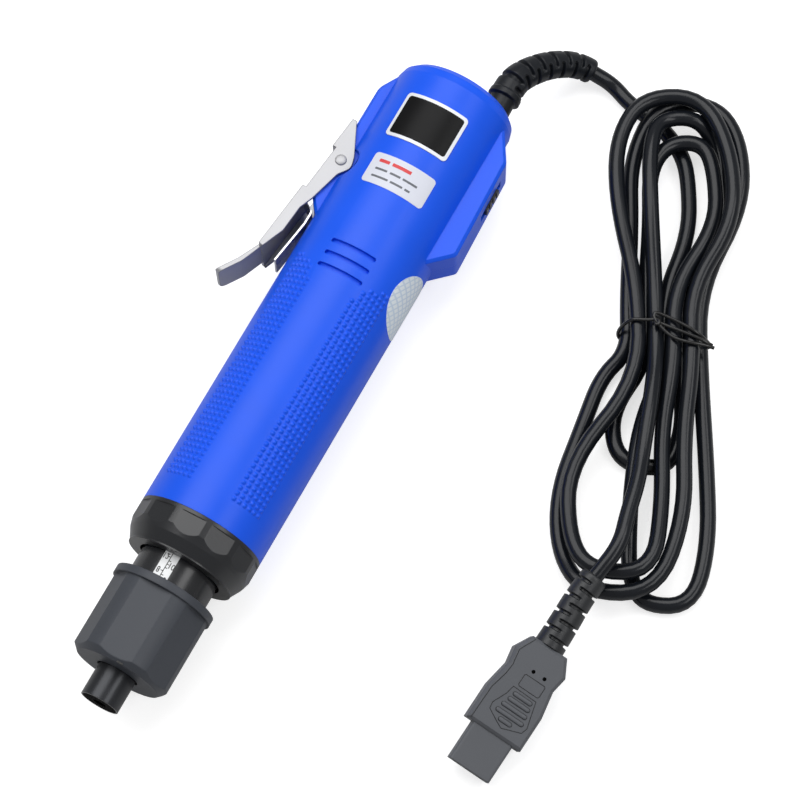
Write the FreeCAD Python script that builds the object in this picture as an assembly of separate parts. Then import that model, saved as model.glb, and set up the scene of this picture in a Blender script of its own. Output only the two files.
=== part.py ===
import FreeCAD, Part
import math
import os

# A corded in-line electric screwdriver with a lever start, a slipping clutch and a put-away cord.
# Lengths are millimetres. The spindle axis is X, the nose points to +X and the mouth of the bit
# socket is the origin. A station is a distance back from the mouth, so x = -station.
# The front side is +Z, the lever is on -Y, the reverse switch and the cord are on +Y.

# Outer stations, one after the other from the mouth
sleeve_reach = 10.3
nut_length = 28.0
neck_gap = 8.4
cover_length = 12.9
barrel_length = 162.6

# Housing shells
barrel_r = 20.0
shell_wall = 2.2
tail_wall = 3.0
tail_round = 5.0
spigot_step = 2.1
spigot_wall = 2.2
vent_count = 3
vent_pitch = 4.3
vent_width = 1.4
vent_half_angle = 21.0
vent_back = 72.2
bay_fit = 0.1
slip = 0.05

# Front cover ring
cover_lip_step = 2.7
cover_shoulder = 4.8
cover_neck_gap = 0.8
cover_bevel_start = 0.5
cover_knee = 4.1
cover_knee_drop = 0.8
cover_bevel_end = 6.8
cover_rim = 1.2
cover_flat_depth = 0.45
cover_flat_count = 12
cover_fit = 0.1

# Clutch case with the threaded neck
neck_r = 12.6
neck_wall = 2.2
neck_engage = 16.3
case_flange_t = 4.8
case_web = 4.4
scale_angle = 23.0
scale_turn = 5.0
scale_t = 0.25

# Torque nut
nut_r = 15.6
nut_flat_count = 6
nut_flat_depth = 0.95
nut_front_wall = 3.0
nut_nose_round = 1.9
nut_flange_r = 16.3
nut_flange_w = 2.5
nut_sleeve_gap = 0.6
thread_gap = 0.08

# Thrust washer, clutch spring, plate and dogs
seat_t = 1.5
seat_gap = 0.2
spring_mean_r = 8.3
spring_wire = 1.8
spring_turn_count = 5
plate_t = 3.0
plate_edge_gap = 0.5
washer_side_count = 12
dog_count = 3
dog_height = 1.4
dog_width = 3.4
dog_slope = 0.7
dog_gap = 0.3
cam_t = 3.2

# Spindle and bit sleeve
bore_r = 2.05
bore_depth = 22.0
spindle_nose_r = 4.6
sleeve_r = 6.15
sleeve_land = 12.0
sleeve_length = 25.0
pocket_r = 5.5
collar_at = 22.0
collar_w = 4.0
shaft_r = 4.5
shaft_flat = 3.6
pilot_r = 3.0
sleeve_wire = 0.5
sleeve_turn_count = 4

# Planetary gearbox
ring_wall = 4.218
sun_teeth = 12
planet_teeth = 9
planet_count = 3
pressure_angle = 25.0
tooth_top_ratio = 0.8
tooth_root_ratio = 1.05
backlash = 0.14
planet_w = 7.0
planet_pin_r = 1.2
disc_t = 3.0
arm_r = 2.8
side_gap = 0.4
ring_lead = 0.8
ring_flat_count = 12
hub_r = 6.0

# Motor
electronics_bay = 85.0
motor_shaft_r = 1.6
motor_shaft_seat = 12.0

# Wings, measured from the tail
wing_half = 7.8
wing_edge = 0.9
lever_wing_stand = 2.3
lever_wing_front = 60.4
lever_wing_rise = 54.5
lever_wing_back = 12.0
switch_wing_stand = 5.9
switch_wing_back_stand = 4.7
switch_wing_front = 57.6
switch_wing_rise = 50.8
switch_wing_back = 16.2

# Start lever of bent sheet, in its own frame: forward from the pin and outward from the pin
pin_from_tail = 40.1
pin_stand = 0.2
pin_r = 1.3
pin_head = 0.5
sheet_t = 1.0
lever_gap = 0.3
ear_r = 3.7
ear_room = 2.1
lever_tail = 13.9
lever_tail_out = 3.5
lever_slope_ratio = 0.105
lever_reach = 35.8
window_back = 3.1
window_front = 12.8
window_step = 1.2
tab_half = 6.3
tab_length = 13.6
tab_corner = 1.8
tab_t = 1.3
leaf_t = 0.6
leaf_half = 5.0
leaf_root = 14.5
leaf_knee = (17.9, 22.4)
leaf_tip = (37.2, 2.6)
leaf_gap = 0.4

# Start plunger, switches and board
plunger_ahead = 20.1
plunger_r = 1.6
plunger_travel = 1.4
board_t = 1.6
board_low = 8.0
board_front_gap = 3.0
board_back_gap = 20.0
start_switch_l = 15.0
start_switch_w = 8.0
start_switch_h = 9.8
relay_l = 12.0
relay_w = 9.0
relay_h = 8.0
knob_from_tail = 27.0
knob_length = 7.9
knob_half = 1.8
knob_stand = 0.8
knob_travel = 2.5
switch_depth = 11.0
switch_half = 4.5

# Cord, strain reliefs and plug
cord_d = 5.0
cord_side_count = 6
cord_swell_ratio = 1.03
cord_rest = 2.7
relief_inset = 8.0
relief_straight = 9.0
relief_clear = 2.1
relief_root_r = 5.2
relief_end_r = 4.1
relief_groove = 0.8
relief_rib_count = 8
relief_collar = 1.4
plug_relief_root_r = 5.4
plug_relief_end_r = 4.6
plug_relief_rib_count = 4
boot_side_count = 8
plug_nose_l = 12.7
plug_nose_half = 7.0
plug_nose_t = 7.0
plug_body_l = 30.6
plug_shoulder = 11.5
plug_waist_at = 20.0
plug_flare_at = 25.2
plug_flare = 0.9
plug_body_half = 9.5
plug_waist_half = 8.0
plug_body_t = 9.4
plug_relief_l = 25.2
plug_relief_lift = 0.3
plug_relief_lean = (0.10, 0.02)
plug_edge = 0.9
plug_roll = 14.0
socket_w = 2.2
tie_wire_r = 0.6
tie_gap = 0.3

# Bend of the tail's strain relief, as steps and directions from the end of its straight root
relief_bend_step = (-14.2, 4.6, -4.6)
relief_bend_way = (-0.77, 0.48, -0.42)
relief_tip_step = (-24.3, 17.5)
relief_tip_way = (-0.10, 0.90, -0.42)

# Put-away loops of the cord in a frame of their own: along the loops, across them and up in levels
hank_ahead = 34.7
hank_beside = 70.0
hank_heading = (0.879, 0.476)
hank_pitch = 5.5
hank_lift = 1.7
waist_step = 2.75
waist_down = (0, -4, -3, -2, -1)
waist_down_level = (0, 0, 1, 0, 1)
waist_up = (4, 3, 1, 2)
waist_up_level = (0, 1, 1, 0)
lower_turns = (
    ((41.0, -10.0, 1), (76.0, -8.6, 0), (88.5, 2.4, 0), (62.0, 13.4, 0)),
    ((19.0, -21.5, 0), (62.0, -33.6, 0), (85.5, -17.0, 1), (50.0, 6.2, 1)),
    ((60.0, -29.0, 1), (78.5, -16.0, 1), (44.0, -1.8, 1)),
    ((33.0, -16.2, 0), (43.0, -5.6, 0), (24.0, 5.2, 0)))
upper_turns = (
    ((-50.0, 23.6, 1), (-77.0, 6.0, 1), (-52.0, -14.8, 1)),
    ((-46.0, 22.0, 2), (-76.5, 3.0, 2), (-53.0, -14.2, 2)),
    ((-49.0, 15.6, 1), (-60.5, 4.9, 1), (-48.0, -6.0, 1)),
    ((-53.0, 17.4, 0), (-68.5, 6.0, 1.6), (-48.0, -4.8, 2.1)))
hank_start = (-40.0, 5.9, 0)
hank_end = (32.0, -6.2, 2)
hank_end_way = (0.985, -0.17)
lead_steps = ((2.9, 21.5), (7.5, 32.0), (15.5, 39.5))
lead_ease = 8.0

# Plug on the floor: steps from the middle of the loops to its nose and to the end of its strain relief
plug_nose_step = (150.6, 12.5)
plug_nose_rise = 6.0
plug_relief_step = (84.2, 18.9)
plug_relief_rise = 16.2

# Derived stations
s_nut = sleeve_reach
s_nut_end = s_nut + nut_length
s_cover = s_nut_end + neck_gap
s_barrel = s_cover + cover_length
s_tail = s_barrel + barrel_length
s_shoulder = s_cover + cover_shoulder
s_spigot = s_shoulder + case_flange_t
s_neck = s_nut_end - neck_engage
s_seat = s_nut + nut_front_wall + seat_gap
s_web = s_spigot - case_web
s_cam = s_web - side_gap - cam_t
s_plate = s_cam - dog_gap - plate_t
s_planet = s_barrel + ring_lead
s_disc = s_planet - side_gap - disc_t
s_motor = s_planet + planet_w + side_gap
s_bay_end = s_tail - electronics_bay
board_length = electronics_bay - board_front_gap - board_back_gap

# Derived sides
floor_z = -barrel_r
pin_y = barrel_r + pin_stand
lever_wing_y = barrel_r + lever_wing_stand
switch_wing_y = barrel_r + switch_wing_stand
switch_wing_low = barrel_r + switch_wing_back_stand
relief_y = barrel_r - relief_inset

# Derived radii
cover_lip_r = barrel_r - cover_lip_step
bay_r = barrel_r - shell_wall
spigot_r = barrel_r - spigot_step
spigot_bore = spigot_r - spigot_wall
cover_bore = spigot_r + cover_fit
neck_bore = neck_r - neck_wall
bay_part_r = bay_r - bay_fit
ring_teeth = sun_teeth + 2 * planet_teeth
gear_module = (bay_part_r - ring_wall) / (ring_teeth / 2 + tooth_root_ratio)
planet_circle = gear_module * (sun_teeth + planet_teeth) / 2


def V(x, y, z=0.0):
    return FreeCAD.Vector(x, y, z)


AXIS = V(1, 0, 0)


def outline(corners):
    """Closed wire in the XY plane through (x, y, rounding) corners, each rounded by a tangent arc."""
    count = len(corners)
    cuts = []
    for i in range(count):
        here = V(corners[i][0], corners[i][1])
        back = V(corners[i - 1][0], corners[i - 1][1]) - here
        ahead = V(corners[(i + 1) % count][0], corners[(i + 1) % count][1]) - here
        radius = corners[i][2]
        if radius <= 0:
            cuts.append((here, None, here))
            continue
        half = back.getAngle(ahead) / 2
        reach = min(radius / math.tan(half), 0.49 * back.Length, 0.49 * ahead.Length)
        radius = reach * math.tan(half)
        back.normalize()
        ahead.normalize()
        inward = (back + ahead).normalize()
        centre = here + inward * (radius / math.sin(half))
        cuts.append((here + back * reach, centre - inward * radius, here + ahead * reach))
    edges = []
    for i in range(count):
        start, middle, end = cuts[i]
        if middle is not None:
            edges.append(Part.Arc(start, middle, end).toShape())
        following = cuts[(i + 1) % count][0]
        if (following - end).Length > 1e-6:
            edges.append(Part.LineSegment(end, following).toShape())
    return Part.Wire(edges)


def plate(corners, low, high):
    """Flat plate with a rounded outline, from one height to another."""
    body = Part.Face(outline(corners)).extrude(V(0, 0, high - low))
    body.translate(V(0, 0, low))
    return body


def turned(profile):
    """Solid turned about the axis from (station, radius, rounding) corners."""
    wire = outline([(-station, radius, rounding) for station, radius, rounding in profile])
    return Part.Face(wire).revolve(V(0, 0, 0), AXIS, 360)


def facing(corners, front, back):
    """Plate square to the axis with a rounded outline, between two stations."""
    body = Part.Face(outline(corners)).extrude(V(0, 0, back - front))
    body.Placement = FreeCAD.Placement(FreeCAD.Matrix(0, 0, 1, -back, 1, 0, 0, 0, 0, 1, 0, 0, 0, 0, 0, 1))
    return body


def spider(arms, arm_circle, arm_end, front, back):
    """Plate with rounded arms, each end about a point on a circle round the axis."""
    reach = arm_circle + arm_end / math.sin(math.pi / 2 - math.pi / arms)
    corners = []
    for i in range(arms):
        angle = 2 * math.pi * i / arms
        corners.append((reach * math.cos(angle), reach * math.sin(angle), arm_end))
    return facing(corners, front, back)


def rod(front, back, radius):
    """Round bar on the axis between two stations."""
    return Part.makeCylinder(radius, back - front, V(-back, 0, 0), AXIS)


def tube(front, back, outer, inner):
    """Round tube on the axis between two stations."""
    return rod(front, back, outer).cut(rod(front - 1, back + 1, inner))


def block(x0, x1, y0, y1, z0, z1):
    """Box between two opposite corners."""
    return Part.makeBox(x1 - x0, y1 - y0, z1 - z0, V(x0, y0, z0))


def bar(x, y, radius, low, high):
    """Round bar along Z."""
    return Part.makeCylinder(radius, high - low, V(x, y, low))


def spun(shape, angle):
    """Copy of a shape turned about the axis, in degrees."""
    copy = shape.copy()
    copy.rotate(V(0, 0, 0), AXIS, angle)
    return copy


def flats(count, across, front, back, reach):
    """Blocks that mill an even number of flats round the axis at a distance from it."""
    cutter = block(-back, -front, -reach, reach, across, across + reach)
    return [spun(cutter, 360 * i / count) for i in range(count)]


def involute(angle):
    return math.tan(angle) - angle


def tooth_half(radius, pitch_r, pitch_half):
    """Half the angle that an involute tooth takes at a radius."""
    pressure = math.radians(pressure_angle)
    at = math.acos(min(1.0, pitch_r * math.cos(pressure) / radius))
    return pitch_half + involute(pressure) - involute(at)


def gear_face(teeth, turn, inner):
    """Toothed outline about the axis in the YZ plane. An inner outline is the hole of a ring gear."""
    pitch_r = gear_module * teeth / 2
    side = -1 if inner else 1
    top = pitch_r + side * tooth_top_ratio * gear_module
    low = pitch_r - side * tooth_root_ratio * gear_module
    half = (math.pi * gear_module / 2 - side * backlash) / (2 * pitch_r)
    half_top = tooth_half(top, pitch_r, half)
    half_low = tooth_half(low, pitch_r, half)
    if inner:
        half_top = math.pi / teeth - half_top
        half_low = math.pi / teeth - half_low
    points = []
    for i in range(teeth):
        middle = turn + 2 * math.pi * i / teeth
        for radius, angle in ((low, -half_low), (top, -half_top), (top, half_top), (low, half_low)):
            points.append(V(0, radius * math.cos(middle + angle), radius * math.sin(middle + angle)))
    return Part.Face(Part.makePolygon(points + points[:1]))


def gear(teeth, turn, front, back, inner=False):
    """Spur gear, or the hole of a ring gear, between two stations."""
    body = gear_face(teeth, turn, inner).extrude(V(front - back, 0, 0))
    body.translate(V(-front, 0, 0))
    return body


def ring_of(centre, along, radius, sides):
    """Points of a regular polygon square to a direction."""
    along = V(along.x, along.y, along.z).normalize()
    side = V(0, 0, 1).cross(along)
    if side.Length < 0.1:
        side = V(0, 1, 0)
    side.normalize()
    up = along.cross(side)
    points = []
    for i in range(sides):
        angle = 2 * math.pi * (i + 0.5) / sides
        points.append(centre + side * (radius * math.cos(angle)) + up * (radius * math.sin(angle)))
    return points


def closed(points):
    """Closed wire of straight edges."""
    return Part.makePolygon(points + points[:1])


def skin(rings):
    """Solid of flat facets through rings of points, capped at both ends."""
    faces = []
    for low, high in zip(rings, rings[1:]):
        for i in range(len(low)):
            j = (i + 1) % len(low)
            faces.append(Part.Face(closed([low[i], low[j], high[j]])))
            faces.append(Part.Face(closed([low[i], high[j], high[i]])))
    for ring in (rings[0], rings[-1]):
        faces.append(Part.Face(closed(ring)))
    shell = Part.makeShell(faces)
    shell.sewShape()
    return Part.makeSolid(shell)


def coil(front, back, mean_r, wire, turns):
    """Compression spring of square wire on the axis, its ends at two stations."""
    around = 10
    steps = around * turns
    half = wire / 2
    rise = back - front - wire
    rings = []
    for i in range(steps + 1):
        angle = 2 * math.pi * i / around
        at = -(front + half + rise * i / steps)
        ring = []
        for dx, dr in ((half, -half), (half, half), (-half, half), (-half, -half)):
            radius = mean_r + dr
            ring.append(V(at + dx, radius * math.cos(angle), radius * math.sin(angle)))
        rings.append(ring)
    return skin(rings)


def shells():
    """Barrel with its tail, wings, bay and openings, split on the plane of the cord."""
    bay_back = s_tail - tail_wall
    body = turned([
        (s_spigot, 0, 0), (s_spigot, spigot_r, 0), (s_barrel, spigot_r, 0), (s_barrel, barrel_r, 0)
    ] + tail_bevels() + [(s_tail, 0, 0)])
    body = body.fuse(lever_wing().fuse(switch_wing())).removeSplitter()
    body = body.cut(rod(s_barrel, bay_back, bay_r).fuse(rod(s_spigot - 1, s_barrel, spigot_bore)))
    body = body.cut(switch_pocket())
    for i in range(vent_count):
        station = s_tail - vent_back + (i - (vent_count - 1) / 2) * vent_pitch
        body = body.cut(vent(station))
    pin_x = -(s_tail - pin_from_tail)
    relief = ear_r + ear_room
    for side in (1, -1):
        low = min(side * (wing_half + 0.1), side * (barrel_r + 1))
        high = max(side * (wing_half + 0.1), side * (barrel_r + 1))
        body = body.cut(bar(pin_x, -pin_y, relief, low, high))
    body = body.cut(bar(pin_x, -pin_y, pin_r, -barrel_r, barrel_r))
    plunger_x = pin_x + plunger_ahead
    body = body.cut(Part.makeCylinder(plunger_r + slip, barrel_r, V(plunger_x, -barrel_r - 1, 0), V(0, 1, 0)))
    body = body.cut(relief_hole())
    reach = barrel_r + switch_wing_y
    front = body.common(block(-s_tail - 1, 1, -reach, reach, 0, reach))
    rear = body.common(block(-s_tail - 1, 1, -reach, reach, -reach, 0))
    return front, rear


def tail_bevels():
    """Corners of the tail's round edge, drawn as three bevels."""
    corners = []
    for i in range(4):
        angle = math.radians(30 * i)
        station = s_tail - tail_round * (1 - math.sin(angle))
        corners.append((station, barrel_r - tail_round * (1 - math.cos(angle)), 0))
    return corners


def lever_wing():
    """Solid rib on the lever side that carries the lever pin."""
    corners = [
        (-s_tail + lever_wing_front, -barrel_r + 8.0, 0), (-s_tail + lever_wing_front, -barrel_r + 2.3, 0),
        (-s_tail + lever_wing_rise, -lever_wing_y, 3.0), (-s_tail + lever_wing_back, -lever_wing_y, 6.0),
        (-s_tail + 4.0, -barrel_r + 2.3, 0), (-s_tail + 4.0, -barrel_r + 8.0, 0)]
    body = plate(corners, -wing_half, wing_half)
    outer = [e for e in body.Edges if e.BoundBox.YMax < -barrel_r + 2.4 and e.BoundBox.ZLength < 0.01]
    return body.makeChamfer(wing_edge, outer)


def switch_wing():
    """Rib on the switch side, hollow under the reverse knob."""
    corners = [
        (-s_tail + switch_wing_front, barrel_r - 8.0, 0), (-s_tail + switch_wing_front, barrel_r - 1.4, 0),
        (-s_tail + switch_wing_rise, switch_wing_y, 2.0), (-s_tail + switch_wing_back, switch_wing_low, 3.0),
        (-s_tail + 3.4, barrel_r - 3.0, 0), (-s_tail + 3.4, barrel_r - 8.0, 0)]
    body = plate(corners, -wing_half, wing_half)
    outer = [e for e in body.Edges if e.BoundBox.YMin > barrel_r - 3.1 and e.BoundBox.ZLength < 0.01]
    return body.makeChamfer(wing_edge, outer)


def knob_face_y(x):
    """Outer face of the switch wing at a place along it."""
    front = -s_tail + switch_wing_rise
    back = -s_tail + switch_wing_back
    share = (front - x) / (front - back)
    return switch_wing_y + share * (switch_wing_low - switch_wing_y)


def switch_pocket():
    """Room for the reverse switch in its wing, and the slot of its knob."""
    x = -s_tail + knob_from_tail
    half = knob_length / 2 + knob_travel + 0.3
    inside = knob_face_y(x - half) - shell_wall
    room = block(x - half - 0.6, x + half + 0.6, 0, inside, -switch_half - slip, switch_half + slip)
    slot = block(x - half, x + half, inside - 1, switch_wing_y + 2, -knob_half - 0.15, knob_half + 0.15)
    return room.fuse(slot)


def vent(station):
    """One slot with round ends through the front and rear walls."""
    half = (barrel_r + 1) * math.sin(math.radians(vent_half_angle))
    wide = vent_width / 2
    corners = [(-station - wide, -half, wide), (-station + wide, -half, wide),
               (-station + wide, half, wide), (-station - wide, half, wide)]
    return plate(corners, -barrel_r - 2, barrel_r + 2)


def relief_hole():
    """Hole in the tail for the strain relief, with the groove that holds its collar."""
    wall = s_tail - tail_wall
    middle = wall + tail_wall / 2
    hole = Part.makeCylinder(relief_root_r + slip, tail_wall + 2, V(-s_tail - 1, relief_y, 0), AXIS)
    groove_w = relief_groove + 2 * slip
    groove_x = -middle - groove_w / 2
    return hole.fuse(Part.makeCylinder(relief_root_r + relief_collar, groove_w, V(groove_x, relief_y, 0), AXIS))


def front_cover():
    """Turned ring that clamps the shells and the clutch case, with milled flats between its bevel and its rim."""
    hole = neck_r + cover_neck_gap
    bevel_start = s_cover + cover_bevel_start
    bevel_end = s_cover + cover_bevel_end
    ring = turned([
        (s_cover, hole, 0), (s_cover, cover_lip_r, 0), (bevel_start, cover_lip_r, 0),
        (s_cover + cover_knee, barrel_r - cover_knee_drop, 0), (bevel_end, barrel_r, 0), (s_barrel, barrel_r, 0),
        (s_barrel, cover_bore, 0), (s_shoulder, cover_bore, 0), (s_shoulder, hole, 0)])
    flat = barrel_r - cover_flat_depth
    for cutter in flats(cover_flat_count, flat, bevel_start, s_barrel - cover_rim, barrel_r):
        ring = ring.cut(cutter)
    return ring


def polygon(radius, sides):
    """Corners of an even polygon round the axis, as a plate's outline."""
    corners = []
    for i in range(sides):
        angle = 2 * math.pi * (i + 0.5) / sides
        corners.append((radius * math.cos(angle), radius * math.sin(angle), 0))
    return corners


def clutch_case():
    """Threaded neck, clamped flange and bearing web in one turned piece, with a bed for the scale."""
    body = turned([
        (s_neck, neck_bore, 0), (s_neck, neck_r, 0), (s_shoulder, neck_r, 0), (s_shoulder, spigot_r, 0),
        (s_spigot, spigot_r, 0), (s_spigot, hub_r, 0), (s_web, hub_r, 0), (s_web, neck_bore, 0)])
    return body.cut(scale_sector(neck_r - scale_t, neck_r + 1, s_neck + 1.0, s_cover + 1.0, scale_angle))


def scale_sector(inner, outer, front, back, angle):
    """Sector of a ring about the direction of the scale."""
    wire = outline([(-front, inner, 0), (-back, inner, 0), (-back, outer, 0), (-front, outer, 0)])
    sector = Part.Face(wire).revolve(V(0, 0, 0), AXIS, angle)
    return spun(sector, 90 + scale_turn - angle / 2)


def scale_strip():
    """Graduated strip that lies in its bed on the neck."""
    edge = math.degrees(2 * slip / neck_r)
    inner = neck_r - scale_t + slip
    return scale_sector(inner, neck_r, s_neck + 1.0 + slip, s_cover + 1.0 - slip, scale_angle - edge)


def torque_nut():
    """Knurled-flat nut that screws along the neck and pushes the thrust washer."""
    hole = sleeve_r + nut_sleeve_gap
    bore = neck_r + thread_gap
    inside = s_nut + nut_front_wall
    flange = s_nut_end - nut_flange_w
    body = turned([
        (s_nut, hole, 0), (s_nut, nut_r - nut_nose_round, 0), (s_nut + nut_nose_round, nut_r, 0),
        (flange, nut_r, 0), (flange, nut_flange_r, 0),
        (s_nut_end, nut_flange_r, 0), (s_nut_end, bore, 0), (inside, bore, 0), (inside, hole, 0)])
    for cutter in flats(nut_flat_count, nut_r - nut_flat_depth, s_nut - 1, flange, nut_r):
        body = body.cut(cutter)
    return body


def thrust_washer():
    """Sided washer between the nut and the clutch spring."""
    body = facing(polygon(neck_bore - cover_fit, washer_side_count), s_seat, s_seat + seat_t)
    return body.cut(rod(s_seat - 1, s_seat + seat_t + 1, sleeve_r + nut_sleeve_gap))


def clutch_plate():
    """Sliding half of the clutch, keyed on the flats of the spindle and notched for the driving dogs."""
    body = clutch_disc(s_plate, s_plate + plate_t)
    body = body.cut(keyed(s_plate - 1, s_plate + plate_t + 1, shaft_r + slip, shaft_flat + slip))
    for notch in dogs(s_plate + plate_t - dog_height, s_plate + plate_t + slip, 2 * slip):
        body = body.cut(notch)
    return body


def clutch_disc(front, back):
    """Sided plate that fills the neck's bore with a running gap."""
    return facing(polygon(neck_bore - plate_edge_gap, washer_side_count), front, back)


def dogs(front, back, grow):
    """Sloped driving dogs on the arms of the clutch, grown for their notches."""
    half = []
    for station in (front, back):
        rise = (s_cam - station) / (dog_height + dog_gap)
        half.append(dog_width / 2 - dog_slope * rise + grow)
    wire = closed([V(-back, 0, -half[1]), V(-back, 0, half[1]), V(-front, 0, half[0]), V(-front, 0, -half[0])])
    inner = hub_r + 0.2 - grow
    outer = neck_bore - plate_edge_gap - 0.8 + grow
    dog = Part.Face(wire).extrude(V(0, outer - inner, 0))
    dog.translate(V(0, inner, 0))
    return [spun(dog, 360 * i / dog_count) for i in range(dog_count)]


def keyed(front, back, radius, flat):
    """Round bar with two flats."""
    return rod(front, back, radius).common(block(-back, -front, -radius, radius, -flat, flat))


def spindle():
    """Driven spindle: bit socket, spring collar, keyed shaft and a pilot that runs in the output carrier."""
    keyed_end = s_plate + plate_t + dog_gap / 2
    body = rod(0, collar_at, spindle_nose_r)
    body = body.fuse(rod(collar_at, collar_at + collar_w, pocket_r - slip))
    body = body.fuse(keyed(collar_at + collar_w, keyed_end, shaft_r, shaft_flat))
    body = body.fuse(rod(keyed_end, s_disc + disc_t, pilot_r)).removeSplitter()
    return body.cut(rod(-1, bore_depth, bore_r))


def bit_sleeve():
    """Sliding sleeve: a land that runs on the spindle and a spring pocket."""
    land = spindle_nose_r + slip
    return turned([
        (0, land, 0), (0, sleeve_r, 0), (sleeve_length, sleeve_r, 0), (sleeve_length, pocket_r, 0),
        (sleeve_land, pocket_r, 0), (sleeve_land, land, 0)])


def sleeve_spring():
    """Spring between the sleeve and the spindle's collar."""
    middle = pocket_r - 2 * slip - sleeve_wire / 2
    return coil(sleeve_land + slip, collar_at - slip, middle, sleeve_wire, sleeve_turn_count)


def clutch_spring():
    """Torque spring between the thrust washer and the clutch plate."""
    return coil(s_seat + seat_t + slip, s_plate - slip, spring_mean_r, spring_wire, spring_turn_count)


def output_carrier():
    """Spider with the planet pins, hub and driving cam in one, bored for the spindle's pilot."""
    body = spider(planet_count, planet_circle, arm_r, s_disc, s_disc + disc_t)
    body = body.fuse(rod(s_cam + cam_t, s_disc, hub_r - slip))
    body = body.fuse(clutch_disc(s_cam, s_cam + cam_t))
    for dog in dogs(s_cam - dog_gap - dog_height + 2 * slip, s_cam, 0):
        body = body.fuse(dog)
    for pin in pins(s_disc + disc_t, s_planet + planet_w, planet_pin_r):
        body = body.fuse(pin)
    body = body.removeSplitter()
    return body.cut(rod(s_cam - 1, s_disc + disc_t + 1, pilot_r + slip))


def pins(front, back, radius):
    """Round bars along the axis at the places of the planets."""
    pin = Part.makeCylinder(radius, back - front, V(-back, planet_circle, 0), AXIS)
    return [spun(pin, 360 * i / planet_count) for i in range(planet_count)]


def planet(front, index):
    """Planet gear on its pin, a tooth space toward the sun and toward the ring."""
    body = gear(planet_teeth, math.pi / planet_teeth, front, front + planet_w)
    body = body.cut(rod(front - 1, front + planet_w + 1, planet_pin_r + slip))
    body.translate(V(0, planet_circle, 0))
    return spun(body, 360 * index / planet_count)


def ring_gear():
    """Toothed ring against the shoulder behind the spigot, its outside flatted between the ribs of the bay."""
    body = facing(polygon(bay_part_r, ring_flat_count), s_barrel, s_motor)
    return body.cut(gear(ring_teeth, 0, s_barrel - 1, s_motor + 1, True))


def motor_pinion():
    """Sun gear and motor shaft in one, a tooth space toward each planet."""
    body = gear(sun_teeth, math.pi / sun_teeth, s_planet, s_planet + planet_w)
    return body.fuse(rod(s_planet + planet_w, s_motor + motor_shaft_seat - slip, motor_shaft_r)).removeSplitter()


def motor():
    """Closed motor that fills the bay behind the gearbox, bored for its shaft."""
    return rod(s_motor, s_bay_end, bay_part_r).cut(rod(s_motor - 1, s_motor + motor_shaft_seat, motor_shaft_r + slip))


def board_front():
    return s_bay_end + board_front_gap


def circuit_board():
    """Board across the bay, its lower edges on the bore."""
    half = math.sqrt(bay_r ** 2 - board_low ** 2) - slip
    front = board_front()
    return block(-front - board_length, -front, -half, half, -board_low, -board_low + board_t)


def plunger_x():
    return -(s_tail - pin_from_tail) + plunger_ahead


def start_switch():
    """Switch on the board behind the start plunger, bored for the plunger's tip."""
    x = plunger_x()
    outer = start_switch_face()
    low = -board_low + board_t
    body = block(x - start_switch_l / 2, x + start_switch_l / 2, outer, outer + start_switch_w,
                 low, low + start_switch_h)
    depth = plunger_travel + 1.6
    return body.cut(Part.makeCylinder(plunger_r / 2 + 2 * slip, depth, V(x, outer, 0), V(0, 1, 0)))


def start_switch_face():
    """Outer face of the start switch, clear of the plunger's shoulder at full travel."""
    return -bay_r + 2.8


def start_plunger():
    """Pin that the lever pushes through the housing wall into the switch."""
    x = plunger_x()
    shoulder = start_switch_face() - plunger_travel - 0.3
    body = Part.makeCylinder(plunger_r, shoulder + barrel_r, V(x, -barrel_r, 0), V(0, 1, 0))
    tip = start_switch_face() + 1.0 - shoulder
    return body.fuse(Part.makeCylinder(plunger_r / 2, tip, V(x, shoulder, 0), V(0, 1, 0))).removeSplitter()


def brake_relay():
    """Relay on the board."""
    x = -(board_front() + board_length / 2)
    low = -board_low + board_t
    return block(x - relay_l / 2, x + relay_l / 2, 0, relay_w, low, low + relay_h)


def reverse_switch():
    """Slide switch under its knob, seated in the pocket of the wing."""
    x = -s_tail + knob_from_tail
    half = knob_length / 2 + knob_travel + 0.3
    top = knob_face_y(x - half) - shell_wall - slip
    return block(x - half, x + half, top - switch_depth, top, -switch_half, switch_half)


def reverse_knob():
    """Knob that slides along the wing, with three finger grooves."""
    x = -s_tail + knob_from_tail
    half = knob_length / 2
    low = knob_face_y(x - half - knob_travel - 0.3) - shell_wall
    high = knob_face_y(x) + knob_stand
    body = block(x - half, x + half, low, high, -knob_half, knob_half)
    for i in (-1, 0, 1):
        groove = block(x + i * 2.2 - 0.4, x + i * 2.2 + 0.4, high - 0.5, high + 1, -knob_half - 1, knob_half + 1)
        body = body.cut(groove)
    return body


def lever_outer(forward):
    """Outer face of the lever's channel, outward from the pin."""
    return lever_tail_out + lever_slope_ratio * (forward + lever_tail)


def lever_side(shift):
    """Side outline of the lever in its own frame, drawn in by a sheet thickness for the hollow."""
    step = sheet_t * shift
    return [
        (-lever_tail, lever_outer(-lever_tail) - step, 0),
        (-lever_tail, lever_outer(-lever_tail) - 1.4 - 8 * step, 0),
        (-2.8, -ear_r + 0.6 - 8 * step, 2.4 * (1 - shift)),
        (1.0, -ear_r - 0.4 - 8 * step, 3.2 * (1 - shift)),
        (4.6, -1.3 - 8 * step, 2.4 * (1 - shift)),
        (15.3, 1.6 - 8 * step, 0),
        (19.7, 3.4 - 8 * step, 0),
        (28.8, 4.2 - 8 * step, 0),
        (lever_reach + 0.4, 7.2 - 8 * step, 0),
        (lever_reach, lever_outer(lever_reach) - step, 0)]


def placed(corners):
    """Corners of the lever's frame moved to the pin, outward being -Y."""
    pin_x = -(s_tail - pin_from_tail)
    return [(pin_x + a, -pin_y - b, rounding) for a, b, rounding in corners]


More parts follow.
